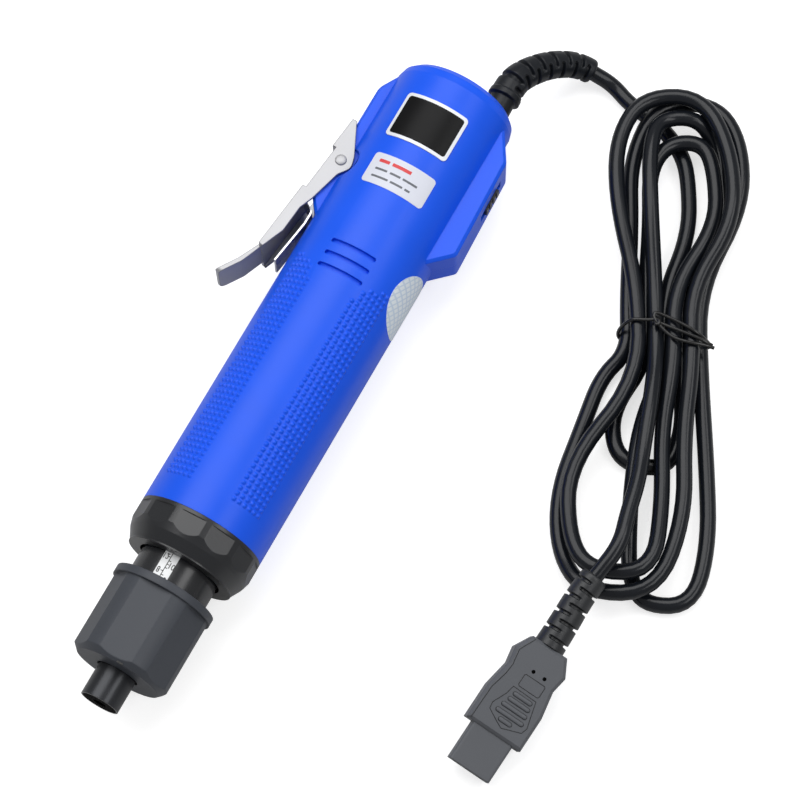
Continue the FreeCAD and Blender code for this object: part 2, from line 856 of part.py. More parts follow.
def start_lever():
    """Bent sheet channel that straddles the wing, with a window over the pin and a finger tab."""
    inner = wing_half + lever_gap
    outer = inner + sheet_t
    body = plate(placed(lever_side(0)), -outer, outer)
    hollow = lever_side(1)
    hollow[0] = (hollow[0][0] - 1, hollow[0][1], 0)
    hollow[1] = (hollow[1][0] - 1, hollow[1][1], 0)
    hollow[-2] = (hollow[-2][0] + 2, hollow[-2][1], 0)
    hollow[-1] = (hollow[-1][0] + 2, lever_outer(lever_reach + 2) - sheet_t, 0)
    body = body.cut(plate(placed(hollow), -inner, inner))
    window = [(-window_back, lever_outer(-window_back) - sheet_t - 1, 0),
              (window_front, lever_outer(window_front) - sheet_t - 1, 0),
              (window_front, lever_outer(window_front) + 1, 0), (-window_back, lever_outer(-window_back) + 1, 0)]
    body = body.cut(plate(placed(window), -inner, inner))
    rim = [(-window_back, lever_outer(-window_back) - window_step, 0),
           (window_front, lever_outer(window_front) - window_step, 0),
           (window_front, lever_outer(window_front) + 1, 0), (-window_back, lever_outer(-window_back) + 1, 0)]
    body = body.cut(plate(placed(rim), -outer - 1, outer + 1))
    body = body.fuse(lever_tab()).removeSplitter()
    pin_x = -(s_tail - pin_from_tail)
    return body.cut(bar(pin_x, -pin_y, pin_r + slip, -outer - 1, outer + 1))


def lever_tab():
    """Finger tab bent outward from the front of the channel, rounded at its end."""
    root_a = lever_reach - 1.5
    root_b = lever_outer(root_a)
    bend_a = lever_reach + tab_length * 0.5
    bend_b = root_b + 2.6
    end_a = lever_reach + tab_length
    end_b = bend_b + 4.3
    strip = [(root_a, root_b - sheet_t, 0), (root_a, root_b - 0.02, 0), (bend_a - 0.3, bend_b + tab_t, 4.0),
             (end_a - 0.6, end_b + tab_t, 0), (end_a, end_b, 0), (bend_a, bend_b - 0.2, 4.0)]
    tab = plate(placed(strip), -tab_half, tab_half)
    pin_x = -(s_tail - pin_from_tail)
    x0 = pin_x + root_a - 1
    x1 = pin_x + end_a
    front = Part.Face(outline([
        (x0, -tab_half, 0), (x1, -tab_half, tab_corner), (x1, tab_half, tab_corner), (x0, tab_half, 0)]))
    mask = front.extrude(V(0, 0, pin_y + end_b + 2 * tab_t))
    mask.rotate(V(0, 0, 0), AXIS, 90)
    return tab.common(mask)


def lever_spring():
    """Bent leaf under the channel whose knee bears over the plunger."""
    knee = pin_y - barrel_r
    strip = [
        (leaf_root, lever_outer(leaf_root) - sheet_t - leaf_t / 2), (leaf_knee[0], lever_gap + leaf_gap - knee),
        (leaf_knee[1], lever_gap + leaf_gap - knee), leaf_tip]
    lower = [(a, b - leaf_t / 2, 1.2) for a, b in strip]
    upper = [(a, b + leaf_t / 2, 1.2) for a, b in reversed(strip)]
    for side in (lower, upper):
        side[0] = (side[0][0], side[0][1], 0)
        side[-1] = (side[-1][0], side[-1][1], 0)
    return plate(placed(lower + upper), -leaf_half, leaf_half)


def lever_pin():
    """Pin through the ears and the wing."""
    pin_x = -(s_tail - pin_from_tail)
    reach = wing_half + lever_gap + sheet_t + pin_head
    return bar(pin_x, -pin_y, pin_r, -reach, reach)


def biarc(start, start_way, end, end_way):
    """Joint of the two arcs that leave one point and reach another in given directions."""
    across = end - start
    both = start_way + end_way
    spread = 2 * (1 - start_way.dot(end_way))
    if abs(spread) < 1e-9:
        reach = across.dot(across) / (4 * across.dot(end_way))
    else:
        pull = across.dot(both)
        reach = (math.sqrt(pull * pull + spread * across.dot(across)) - pull) / spread
    return (start + start_way * reach + end - end_way * reach) * 0.5


def arc_from(start, way, end):
    """Edge of an arc that leaves a point in a direction, its end direction, its radius and its points."""
    chord = end - start
    unit = V(chord.x, chord.y, chord.z).normalize()
    side = way - unit * way.dot(unit)
    half = math.atan2(side.Length, way.dot(unit))
    if half < 1e-5:
        return Part.LineSegment(start, end).toShape(), unit, 1e6
    side.normalize()
    middle = start + chord * 0.5 + side * (chord.Length / 2 * math.tan(half / 2))
    radius = chord.Length / (2 * math.sin(half))
    return Part.Arc(start, middle, end).toShape(), unit * (2 * way.dot(unit)) - way, radius


def arc_path(stops):
    """Edges of a path through (point, direction) stops, two arcs between each pair, and the radii."""
    edges = []
    radii = []
    for (start, start_way), (end, end_way) in zip(stops, stops[1:]):
        joint = biarc(start, start_way, end, end_way)
        edge, way, radius = arc_from(start, start_way, joint)
        edges.append(edge)
        radii.append(radius)
        edge, way, radius = arc_from(joint, way, end)
        edges.append(edge)
        radii.append(radius)
    return edges, radii


def route_path(points):
    """Edges of straight runs joined by tangent arcs as large as the runs allow, and the radii."""
    edges = []
    radii = []
    at = points[0]
    for i in range(1, len(points) - 1):
        back = points[i - 1] - points[i]
        ahead = points[i + 1] - points[i]
        reach = 0.45 * min(back.Length, ahead.Length)
        half = back.getAngle(ahead) / 2
        back.normalize()
        ahead.normalize()
        start = points[i] + back * reach
        end = points[i] + ahead * reach
        radius = reach * math.tan(half)
        inward = (back + ahead).normalize()
        middle = points[i] + inward * (radius / math.sin(half) - radius)
        edges.append(Part.LineSegment(at, start).toShape())
        edges.append(Part.Arc(start, middle, end).toShape())
        radii.append(radius)
        at = end
    edges.append(Part.LineSegment(at, points[-1]).toShape())
    return edges, radii


def cord_along(edges):
    """Cord solid along a path, sided instead of round, and its length."""
    path = Part.Wire(edges)
    start = edges[0].valueAt(edges[0].FirstParameter)
    way = edges[0].tangentAt(edges[0].FirstParameter)
    section = closed(ring_of(start, way, cord_d / 2 * cord_swell_ratio, cord_side_count))
    return path.makePipeShell([section], True, False), path.Length


hank_centre = V(hank_ahead - s_tail, hank_beside + barrel_r)
hank_along = V(*hank_heading).normalize()
hank_across = V(-hank_along.y, hank_along.x)


def hank_point(along, across, level, lift=0.0):
    """Place in the hank's frame."""
    flat = hank_centre + hank_along * along + hank_across * across
    return V(flat.x, flat.y, floor_z + cord_rest + level * hank_pitch + lift)


def hank_way(along, across):
    """Flat direction in the hank's frame."""
    return (hank_along * along + hank_across * across).normalize()


def waist_stop(index, places, levels, way):
    """Stop of a strand at the waist."""
    return hank_point(0, places[index] * waist_step, levels[index], hank_lift), hank_way(way, 0)


def hank_stops():
    """Points and directions along the hank: loop after loop, each drawn in at the waist."""
    stops = [(hank_point(*hank_start), hank_way(1, 0))]
    for i in range(len(lower_turns)):
        stops.append(waist_stop(i, waist_down, waist_down_level, 1))
        rows = lower_turns[i]
        ways = [(1, 0), (0, 1), (-1, 0)]
        if len(rows) == 4:
            ways.insert(0, (rows[1][0], rows[1][1] - waist_down[i] * waist_step))
        for row, way in zip(rows, ways):
            stops.append((hank_point(*row), hank_way(*way)))
        stops.append(waist_stop(i, waist_up, waist_up_level, -1))
        for row, way in zip(upper_turns[i], ((-1, 0), (0, -1), (1, 0))):
            stops.append((hank_point(*row), hank_way(*way)))
    stops.append(waist_stop(len(lower_turns), waist_down, waist_down_level, 1))
    stops.append((hank_point(*hank_end), hank_way(*hank_end_way)))
    return stops


def self_gap(edges):
    """Least gap of the cord to itself, measured on points of its centre line."""
    points = []
    walked = 0.0
    for edge in edges:
        count = 12
        step = edge.Length / count
        for point in edge.discretize(count + 1)[:-1]:
            points.append((walked, point))
            walked += step
    least = 1e9
    for i in range(len(points)):
        for j in range(i + 1, len(points)):
            if points[j][0] - points[i][0] > 5 * cord_d:
                least = min(least, (points[j][1] - points[i][1]).Length)
    return least - cord_d


def cord_hank():
    """The put-away loops of the cord as one unbroken tube."""
    edges, radii = arc_path(hank_stops())
    solid, length = cord_along(edges)
    print("hank length", round(length, 1), "least radius", round(min(radii), 1),
          "least gap", round(self_gap(edges), 2), "volume", round(solid.Volume, 1))
    return solid


def hank_tie():
    """Wire tie round the waist, twisted on top."""
    reach = cord_d / 2 + tie_gap + tie_wire_r
    low_half = 4 * waist_step
    high_half = 3 * waist_step
    low = cord_rest + hank_lift
    high = low + hank_pitch
    slant = V(high_half - low_half, high - low).normalize()
    side = V(slant.y, -slant.x)
    foot = V(low_half, low) + side * reach
    bottom = foot + slant * ((low - reach - foot.y) / slant.y)
    top = foot + slant * ((high + reach - foot.y) / slant.y)
    loops = []
    for offset in (tie_wire_r, -tie_wire_r):
        wide = bottom.x + offset * (1 - slant.x) / slant.y
        slim = top.x + offset * (1 + slant.x) / slant.y
        below = bottom.y - offset
        above = top.y + offset
        bend = reach + offset
        cut = bend * 0.2
        loops.append(plate([
            (-wide, below + cut, 0), (cut - wide, below, 0), (wide - cut, below, 0), (wide, below + cut, 0),
            (slim, above - cut, 0), (slim - cut, above, 0), (cut - slim, above, 0), (-slim, above - cut, 0)],
            -tie_wire_r, tie_wire_r))
    ring = loops[0].cut(loops[1])
    rings = []
    for i in range(10):
        angle = i * math.pi / 4
        at = V(-high_half * 0.3 + i * 1.1, high + reach + 2 * tie_wire_r + 0.2, -1.5 + i * 0.25)
        wide = V(0, math.cos(angle), math.sin(angle)) * (2 * tie_wire_r)
        thin = V(0, -math.sin(angle), math.cos(angle)) * tie_wire_r
        rings.append([at + wide + thin, at - wide + thin, at - wide - thin, at + wide - thin])
    twist = skin(rings)
    tie = Part.makeCompound([ring, twist])
    tie.Placement = FreeCAD.Placement(
        FreeCAD.Matrix(hank_across.x, 0, hank_along.x, hank_centre.x,
                       hank_across.y, 0, hank_along.y, hank_centre.y,
                       0, 1, 0, floor_z, 0, 0, 0, 1))
    return tie


def ribbed(stops, ribs, root_r, end_r, groove):
    """Rings of points for a tapered boot along a path of stops: four rings for each rib."""
    edges, radii = arc_path(stops)
    length = sum(edge.Length for edge in edges)
    count = ribs * 4
    rings = []
    for i in range(count + 1):
        share = (i - (0.1 if i % 4 in (0, 2) and 0 < i < count else 0.0)) / count
        radius = root_r + (end_r - root_r) * share - (groove if i % 4 in (2, 3) and i < count else 0.0)
        place, way = path_at(edges, share * length)
        rings.append(ring_of(place, way, radius, boot_side_count))
    return rings


def path_at(edges, distance):
    """Place and direction at a distance along connected edges."""
    for edge in edges:
        if distance <= edge.Length + 1e-6 or edge is edges[-1]:
            parameter = edge.getParameterByLength(min(distance, edge.Length))
            return edge.valueAt(parameter), edge.tangentAt(parameter)
        distance -= edge.Length
    return None


def relief_stops():
    """Stops of the tail's strain relief, from the tail to where the cord leaves it."""
    root = V(-s_tail, relief_y, 0)
    straight = root + V(-relief_straight, 0, 0)
    middle = straight + V(*relief_bend_step)
    tip = straight + V(*relief_tip_step, floor_z + relief_end_r + relief_clear)
    return [(root, V(-1, 0, 0)), (straight, V(-1, 0, 0)), (middle, V(*relief_bend_way).normalize()),
            (tip, V(*relief_tip_way).normalize())]


def strain_relief():
    """Moulded boot held by its collar in the groove of the tail."""
    boot = ribbed(relief_stops(), relief_rib_count, relief_root_r, relief_end_r, relief_groove)
    middle = s_tail - tail_wall / 2
    inside = []
    for station, radius in (
            (s_tail - tail_wall, relief_root_r), (middle - relief_groove / 2, relief_root_r),
            (middle - relief_groove / 2 + slip, relief_root_r + relief_collar - slip),
            (middle + relief_groove / 2 - slip, relief_root_r + relief_collar - slip),
            (middle + relief_groove / 2, relief_root_r)):
        inside.append(ring_of(V(-station, relief_y, 0), V(-1, 0, 0), radius, boot_side_count))
    return skin(inside + boot)


def cord_lead():
    """Cord from the tail's strain relief to the hank."""
    tip, way = relief_stops()[-1]
    start = hank_point(*hank_start)
    points = [tip, tip + way * lead_ease]
    for ahead, beside in lead_steps:
        points.append(V(tip.x + ahead, tip.y + beside, floor_z + cord_rest))
    points += [start - hank_way(1, 0) * lead_ease, start]
    edges, radii = route_path(points)
    solid, length = cord_along(edges)
    print("lead length", round(length, 1), "radii", [round(r, 1) for r in radii],
          "volume", round(solid.Volume, 1))
    return solid


plug_nose_place = hank_centre + V(*plug_nose_step, floor_z + plug_nose_rise)
plug_relief_place = hank_centre + V(*plug_relief_step, floor_z + plug_relief_rise)


def plug_frame():
    """Placement of the plug: its X runs from the nose to the cord, its Z out of its face."""
    along = (plug_relief_place - plug_nose_place).normalize()
    across = V(0, 0, 1).cross(along).normalize()
    face = along.cross(across)
    turn = math.radians(plug_roll)
    side = across * math.cos(turn) + face * math.sin(turn)
    face = face * math.cos(turn) - across * math.sin(turn)
    return FreeCAD.Placement(FreeCAD.Matrix(
        along.x, side.x, face.x, plug_nose_place.x, along.y, side.y, face.y, plug_nose_place.y,
        along.z, side.z, face.z, plug_nose_place.z, 0, 0, 0, 1))


def plug_body():
    """Moulded grip of the plug: shoulders, waist and a tapered end, with bevelled edges."""
    front = plug_nose_l
    back = front + plug_body_l
    half = plug_body_half
    waist = plug_waist_half
    side = [(front, half, 0), (front + plug_shoulder, half, 0), (front + plug_waist_at, waist, 0),
            (front + plug_flare_at, waist + plug_flare, 0), (back, plug_relief_root_r + 0.6, 0)]
    corners = side + [(p, -w, r) for p, w, r in reversed(side)]
    body = plate(corners, -plug_body_t / 2, plug_body_t / 2)
    rims = [e for e in body.Edges if e.BoundBox.ZLength < 0.01]
    body = body.makeChamfer(plug_edge, rims)
    pocket = nose_block(front - 1, front + plug_nose_l * 0.5 + slip, slip)
    return body.cut(pocket)


def nose_block(front, back, grow):
    """Block of the plug's nose with rounded edges, grown for its pocket."""
    half = plug_nose_half + grow
    thick = plug_nose_t / 2 + grow
    wire = outline([(-half, -thick, 1.0), (half, -thick, 1.0), (half, thick, 1.0), (-half, thick, 1.0)])
    body = Part.Face(wire).extrude(V(0, 0, back - front))
    body.Placement = FreeCAD.Placement(FreeCAD.Matrix(0, 0, 1, front, 1, 0, 0, 0, 0, 1, 0, 0, 0, 0, 0, 1))
    return body


def contact_places():
    """Middle of each contact across the nose."""
    return [(i - 1) * plug_nose_half * 0.6 for i in range(3)]


def plug_nose():
    """Connector block that stands out of the grip, with a socket for each contact."""
    body = nose_block(0, plug_nose_l * 1.5, 0)
    for w in contact_places():
        body = body.cut(block(-1, plug_nose_l * 0.8, w - socket_w / 2, w + socket_w / 2, -socket_w / 2, socket_w / 2))
    return body


def plug_contacts():
    """Spring contacts at the bottom of the sockets."""
    blades = []
    for w in contact_places():
        blades.append(block(plug_nose_l * 0.2, plug_nose_l * 0.8, w - socket_w * 0.35, w + socket_w * 0.35,
                            -socket_w / 2 + slip, -socket_w / 2 + 0.5))
    return Part.makeCompound(blades)


def plug_relief_stops():
    """Stops of the plug's strain relief in the shared frame."""
    frame = plug_frame()
    root = frame.multVec(V(plug_nose_l + plug_body_l, 0, 0))
    way = frame.Rotation.multVec(AXIS)
    end = root + way * plug_relief_l + V(0, 0, plug_relief_lift)
    end_way = (way + V(0, *plug_relief_lean)).normalize()
    return [(root, way), (end, end_way)]


def plug_strain_relief():
    """Moulded boot where the cord leaves the plug."""
    return skin(ribbed(plug_relief_stops(), plug_relief_rib_count, plug_relief_root_r, plug_relief_end_r, relief_groove))


def cord_tail():
    """Cord from the hank over its lower turns to the plug."""
    end, end_way = plug_relief_stops()[-1]
    start = hank_point(*hank_end)
    way = hank_way(*hank_end_way)
    last = end + end_way * 12.0
    points = [start, start + way * 10.0, hank_point(52.0, -9.6, 2.35), hank_point(63.0, -13.0, 2.65), last, end]
    edges, radii = route_path(points)
    solid, length = cord_along(edges)
    print("tail length", round(length, 1), "radii", [round(r, 1) for r in radii],
          "volume", round(solid.Volume, 1))
    return solid


def in_plug(shape):
    """Shape of the plug's own frame, laid where the plug lies."""
    shape.Placement = plug_frame().multiply(shape.Placement)
    return shape


front_half, rear_half = shells()
parts = {
    "front_shell": front_half,
    "rear_shell": rear_half,
    "front_cover": front_cover(),
    "clutch_case": clutch_case(),
    "scale_strip": scale_strip(),
    "torque_nut": torque_nut(),
    "thrust_washer": thrust_washer(),
    "clutch_spring": clutch_spring(),
    "clutch_plate": clutch_plate(),
    "spindle": spindle(),
    "bit_sleeve": bit_sleeve(),
    "sleeve_spring": sleeve_spring(),
    "output_carrier": output_carrier(),
    "ring_gear": ring_gear(),
    "motor_pinion": motor_pinion(),
    "motor": motor(),
    "circuit_board": circuit_board(),
    "start_switch": start_switch(),
    "start_plunger": start_plunger(),
    "brake_relay": brake_relay(),
    "reverse_switch": reverse_switch(),
    "reverse_knob": reverse_knob(),
    "start_lever": start_lever(),
    "lever_pin": lever_pin(),
    "lever_spring": lever_spring(),
    "strain_relief": strain_relief(),
    "cord_lead": cord_lead(),
    "cord_hank": cord_hank(),
    "cord_tail": cord_tail(),
    "hank_tie": hank_tie(),
    "plug_strain_relief": plug_strain_relief(),
    "plug_body": in_plug(plug_body()),
    "plug_nose": in_plug(plug_nose()),
    "plug_contacts": in_plug(plug_contacts()),
}
for index in range(planet_count):
    parts["planet_%d" % (index + 1)] = planet(s_planet, index)

os.makedirs("parts", exist_ok=True)
for name, shape in parts.items():
    shape.exportStep("parts/" + name + ".step")
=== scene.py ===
# %% [markdown]
# # A corded electric screwdriver in a plain studio
# The solids of the tool come from its CAD model, with every piece in its place and at its real
# size. This lesson gives them finishes, adds what is too fine for the solids, lays the cord as one
# smooth curve and sets up a camera and soft light.

import math

import bmesh
import bpy
from mathutils import Matrix, Vector


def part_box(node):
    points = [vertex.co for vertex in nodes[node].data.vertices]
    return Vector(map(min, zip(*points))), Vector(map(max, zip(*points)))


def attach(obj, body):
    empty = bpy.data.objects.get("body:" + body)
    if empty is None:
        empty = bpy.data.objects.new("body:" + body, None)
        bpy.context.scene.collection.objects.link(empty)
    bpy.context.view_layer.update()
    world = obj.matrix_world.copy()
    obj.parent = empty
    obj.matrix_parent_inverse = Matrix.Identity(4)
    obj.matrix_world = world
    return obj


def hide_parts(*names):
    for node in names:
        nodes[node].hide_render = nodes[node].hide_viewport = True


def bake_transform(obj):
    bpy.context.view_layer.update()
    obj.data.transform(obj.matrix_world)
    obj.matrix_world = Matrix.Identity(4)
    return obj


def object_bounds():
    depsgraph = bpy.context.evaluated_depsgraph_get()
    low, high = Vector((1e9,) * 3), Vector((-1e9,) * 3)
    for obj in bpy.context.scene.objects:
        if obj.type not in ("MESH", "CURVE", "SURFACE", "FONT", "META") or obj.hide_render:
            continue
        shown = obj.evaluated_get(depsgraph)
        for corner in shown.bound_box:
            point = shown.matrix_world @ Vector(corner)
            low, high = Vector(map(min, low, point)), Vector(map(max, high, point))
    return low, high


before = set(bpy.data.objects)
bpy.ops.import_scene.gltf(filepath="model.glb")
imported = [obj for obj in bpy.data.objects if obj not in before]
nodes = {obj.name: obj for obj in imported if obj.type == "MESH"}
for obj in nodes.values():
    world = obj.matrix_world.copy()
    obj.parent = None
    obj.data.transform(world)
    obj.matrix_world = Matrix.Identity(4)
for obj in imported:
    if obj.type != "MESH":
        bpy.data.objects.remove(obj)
cad_low, cad_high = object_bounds()
mm = 0.001
print("nodes", len(nodes), "size in mm", [round((b - a) / mm, 1) for a, b in zip(cad_low, cad_high)])

# %% [markdown]
# ## Measures of the tool
# The spindle axis is X and the mouth of the bit socket is the origin. A station is a distance back
# from the mouth, and an angle goes from the front of the tool towards its switch side. Stations and
# radii are read from the solids in millimetres, so the looks follow the solids.

# %% Stations and radii
low_corner = {name: Vector(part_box(name)[0]) / mm for name in nodes}
high_corner = {name: Vector(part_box(name)[1]) / mm for name in nodes}
barrel_r = high_corner["front_cover"].z
tail = -low_corner["front_shell"].x
cover_back = -low_corner["front_cover"].x
nut_front = -high_corner["torque_nut"].x
neck_r = high_corner["scale_strip"].z
floor_z = cad_low.z / mm
pin_middle = (low_corner["lever_pin"] + high_corner["lever_pin"]) / 2
lever_side = high_corner["start_lever"].z
print("barrel from", round(cover_back, 1), "to", round(tail, 1), "radius", round(barrel_r, 1))

# %% [markdown]
# ## Camera
# A long lens looks down at the lying tool. Its place and direction were solved from points of the
# tool whose real sizes are known, so the picture has the perspective of a photograph.

# %% Camera
camera_place = Vector((174.8, 211.34, 937.07)) * mm
camera_right = Vector((-0.4808, 0.8767, -0.0143)).normalized()
camera_forward = Vector((-0.2995, -0.1795, -0.9371)).normalized()
focal_px = 3314.2
picture_px = 800
camera_data = bpy.data.cameras.new("camera")
camera_data.sensor_width = 36.0
camera_data.lens = focal_px / picture_px * camera_data.sensor_width
camera_up = camera_right.cross(camera_forward)
camera_turn = Matrix((camera_right, camera_up, -camera_forward)).transposed()
camera = bpy.data.objects.new("camera", camera_data)
camera.matrix_world = Matrix.Translation(camera_place) @ camera_turn.to_4x4()
bpy.context.scene.collection.objects.link(camera)
bpy.context.scene.camera = camera
bpy.context.scene.view_settings.view_transform = "Standard"
print("lens in mm", round(camera_data.lens, 1))

# %% [markdown]
# ## Nodes
# Finishes and grown shapes are both made of nodes. A wire stands for a node's output, and plain
# arithmetic on wires adds the nodes that do it, so each tree below reads like a formula.

# %% Node helpers
socket_types = {int: "NodeSocketInt", float: "NodeSocketFloat", tuple: "NodeSocketVector",
                type(None): "NodeSocketGeometry"}


class Wire:
    """Output of a node. Arithmetic on it adds nodes to its tree."""

    def __init__(self, tree, socket):
        self.tree = tree
        self.socket = socket

    def beside(self, label):
        """Another output of the same node."""
        return Wire(self.tree, self.socket.node.outputs[label])

    def by(self, operation, *others):
        """Result of one step of arithmetic."""
        return node(self.tree, "ShaderNodeMath", "Value", {"operation": operation}, self, *others)

    def __add__(self, other):
        return self.by("ADD", other)

    def __sub__(self, other):
        return self.by("SUBTRACT", other)

    def __rsub__(self, other):
        return node(self.tree, "ShaderNodeMath", "Value", {"operation": "SUBTRACT"}, other, self)

    def __mul__(self, other):
        return self.by("MULTIPLY", other)

    def __truediv__(self, other):
        return self.by("DIVIDE", other)

    def __abs__(self):
        return self.by("ABSOLUTE")


def fill(tree, socket, value):
    """Sets an input to a plain value, or joins it to a wire."""
    if isinstance(value, Wire):
        tree.links.new(value.socket, socket)
    else:
        socket.default_value = value


def node(tree, kind, output, settings=None, *values, **named):
    """One output of a new node with its settings, and its inputs filled in order or by name."""
    made = tree.nodes.new(kind)
    for key, value in (settings or {}).items():
        setattr(made, key, value)
    for socket, value in zip(made.inputs, values):
        fill(tree, socket, value)
    for label, value in named.items():
        fill(tree, made.inputs[label.replace("_", " ")], value)
    return Wire(tree, made.outputs[output])


def vector(operation, first, *others, **named):
    """Vector from one step of vector arithmetic."""
    settings = {"operation": operation}
    return node(first.tree, "ShaderNodeVectorMath", "Vector", settings, first, *others, **named)


def ramp(wire, settings=None, **ends):
    """Number that goes from one end to the other while a wire does the same."""
    return node(wire.tree, "ShaderNodeMapRange", "Result", settings, Value=wire, **ends)


def mixed(share, first, second):
    """Colour between two colours."""
    return node(share.tree, "ShaderNodeMix", "Result", {"data_type": "RGBA"}, Factor=share, A=first, B=second)


def new_tree(name, kind, inputs, outputs):
    """Node tree, a function that gives a wire from a named input, and the sockets of its outputs."""
    tree = bpy.data.node_groups.new(name, kind)
    for way, sockets in (("INPUT", inputs), ("OUTPUT", outputs)):
        for label, value in sockets.items():
            socket = tree.interface.new_socket(label, in_out=way, socket_type=socket_types[type(value)])
            if value is not None:
                socket.default_value = value
    enter = tree.nodes.new("NodeGroupInput")
    leave = tree.nodes.new("NodeGroupOutput")
    return tree, lambda label: Wire(tree, enter.outputs[label]), leave.inputs


print("kinds of sockets", len(socket_types))

# %% [markdown]
# ## Moulded grain
# A mould leaves a fine grain that breaks up the gloss of plastic and rubber, and no surface is quite
# even over a hand's width. Several finishes share both, so they are a node group with a grain size.
# It puts out a height for a bump and a slow speck for colour and roughness.

# %% Grain group


def grain_group():
    """Node group of a fine grain and a slow speck."""
    group, given, leave = new_tree("Moulded grain", "ShaderNodeTree", {
        "Grains per metre": 3000.0, "Stretch": (1.0, 1.0, 1.0)}, {"Height": 0.0, "Speck": 0.0})
    place = node(group, "ShaderNodeTexCoord", "Object")
    stretched = vector("MULTIPLY", place, given("Stretch"))
    fine = node(group, "ShaderNodeTexNoise", "Fac", Vector=stretched, Scale=given("Grains per metre"),
                Detail=3.0)
    broad = node(group, "ShaderNodeTexNoise", "Fac", Vector=place, Scale=70.0)
    fill(group, leave["Height"], fine)
    fill(group, leave["Speck"], broad)
    return group


moulded_grain = grain_group()
print("group", moulded_grain.name)

# %% [markdown]
# ## Edges
# Edges of the lever and the plug get painted shade, a darker tone for the dark reflection of rounded
# edges. A group finds them as the places where the rounded normal leaves the true one.

# %% Edge group


def edge_group():
    """Node group of a mask that is one along the edges of the solids."""
    group, given, leave = new_tree("Solid edges", "ShaderNodeTree", {"Width": 0.0003}, {"Edge": 0.0})
    rounded = node(group, "ShaderNodeBevel", "Normal", {"samples": 6}, Radius=given("Width"))
    true = node(group, "ShaderNodeNewGeometry", "Normal")
    agree = node(group, "ShaderNodeVectorMath", "Value", {"operation": "DOT_PRODUCT"}, rounded, true)
    fill(group, leave["Edge"], ramp(agree, From_Min=0.98, From_Max=0.80))
    return group


solid_edges = edge_group()
print("group", solid_edges.name)

# %% [markdown]
# ## Finishes
# Each finish is one Principled shader. Moulded and machined edges are never knife-sharp, so a Bevel
# node rounds the normals at the edges of the solids. The grain feeds a bump, and the speck changes
# colour and roughness a little. Brushed metal is the same grain, stretched along the tool.

# %% Finish maker
unevenness = 0.06
least_rough = 0.02
grain_depth = 0.05


def shade(colour, share):
    """Darker or lighter colour, opaque."""
    return (*[min(1.0, share * v) for v in colour], 1.0)


def finish(name, colour, rough, metal=0.0, grain=0.1, stretch=(1, 1, 1), edge=0.25, shine=0.5,
           edge_shade=None):
    """Material with rounded edges, a fine grain, a slow change of tone and, where asked, painted shade along
    its edges.
    """
    material = bpy.data.materials.new(name)
    material.use_nodes = True
    tree = material.node_tree
    speck = node(tree, "ShaderNodeGroup", "Speck", {"node_tree": moulded_grain}, Stretch=stretch)
    rounded = node(tree, "ShaderNodeBevel", "Normal", {"samples": 4}, Radius=edge * mm)
    bump = node(tree, "ShaderNodeBump", "Normal", Strength=grain, Distance=grain_depth * mm,
                Height=speck.beside("Height"), Normal=rounded)
    spread = ramp(speck, To_Min=max(least_rough, rough - unevenness), To_Max=rough + unevenness)
    tone = mixed(speck, shade(colour, 1 - unevenness), shade(colour, 1 + unevenness))
    # Painted shade: a darker tone along the edges stands in for their dark reflection.
    if edge_shade is not None:
        edges = node(tree, "ShaderNodeGroup", "Edge", {"node_tree": solid_edges}, Width=edge * mm)
        tone = mixed(edges, tone, shade(colour, edge_shade))
    dress(material, {"Metallic": metal, "Specular IOR Level": shine, "Base Color": tone, "Roughness": spread,
                     "Normal": bump})
    return material


def dress(material, looks):
    """Sets or wires inputs of a material's shader."""
    for label, value in looks.items():
        fill(material.node_tree, material.node_tree.nodes["Principled BSDF"].inputs[label], value)


def source(material, label):
    """Wire that feeds an input of a material's shader."""
    tree = material.node_tree
    return Wire(tree, tree.nodes["Principled BSDF"].inputs[label].links[0].from_socket)


def dark_inside(material, radius, metal):
    """Blackens what lies nearer to the spindle axis than a radius in millimetres: painted shade in the bore
    and round the mouth of the socket, without reflection.
    """
    tree = material.node_tree
    soft_edge = 0.15
    black = (0.004, 0.004, 0.004, 1.0)
    across = vector("MULTIPLY", node(tree, "ShaderNodeTexCoord", "Object"), (0.0, 1.0, 1.0))
    away = node(tree, "ShaderNodeVectorMath", "Value", {"operation": "LENGTH"}, across)
    outside = ramp(away, From_Min=(radius - soft_edge) * mm, From_Max=(radius + soft_edge) * mm)
    matt = node(tree, "ShaderNodeMix", "Result", Factor=outside, A=1.0, B=source(material, "Roughness"))
    dress(material, {"Base Color": mixed(outside, black, source(material, "Base Color")),
                     "Metallic": ramp(outside, To_Min=1.0, To_Max=metal), "Roughness": matt})


def crossed_lines(material, colour, scale):
    """Adds fine lines of another colour that cross at a slant, as on a sealing sticker."""
    tree = material.node_tree
    place = node(tree, "ShaderNodeTexCoord", "Object")
    for lean in (1.0, -1.0):
        turned = vector("MULTIPLY", place, (1.0, 1.0, lean))
        wave = node(tree, "ShaderNodeTexWave", "Fac", {"bands_direction": "DIAGONAL"}, Vector=turned,
                    Scale=scale)
        line = ramp(wave, From_Min=0.70, From_Max=0.95)
        dress(material, {"Base Color": mixed(line, source(material, "Base Color"), shade(colour, 1.0))})


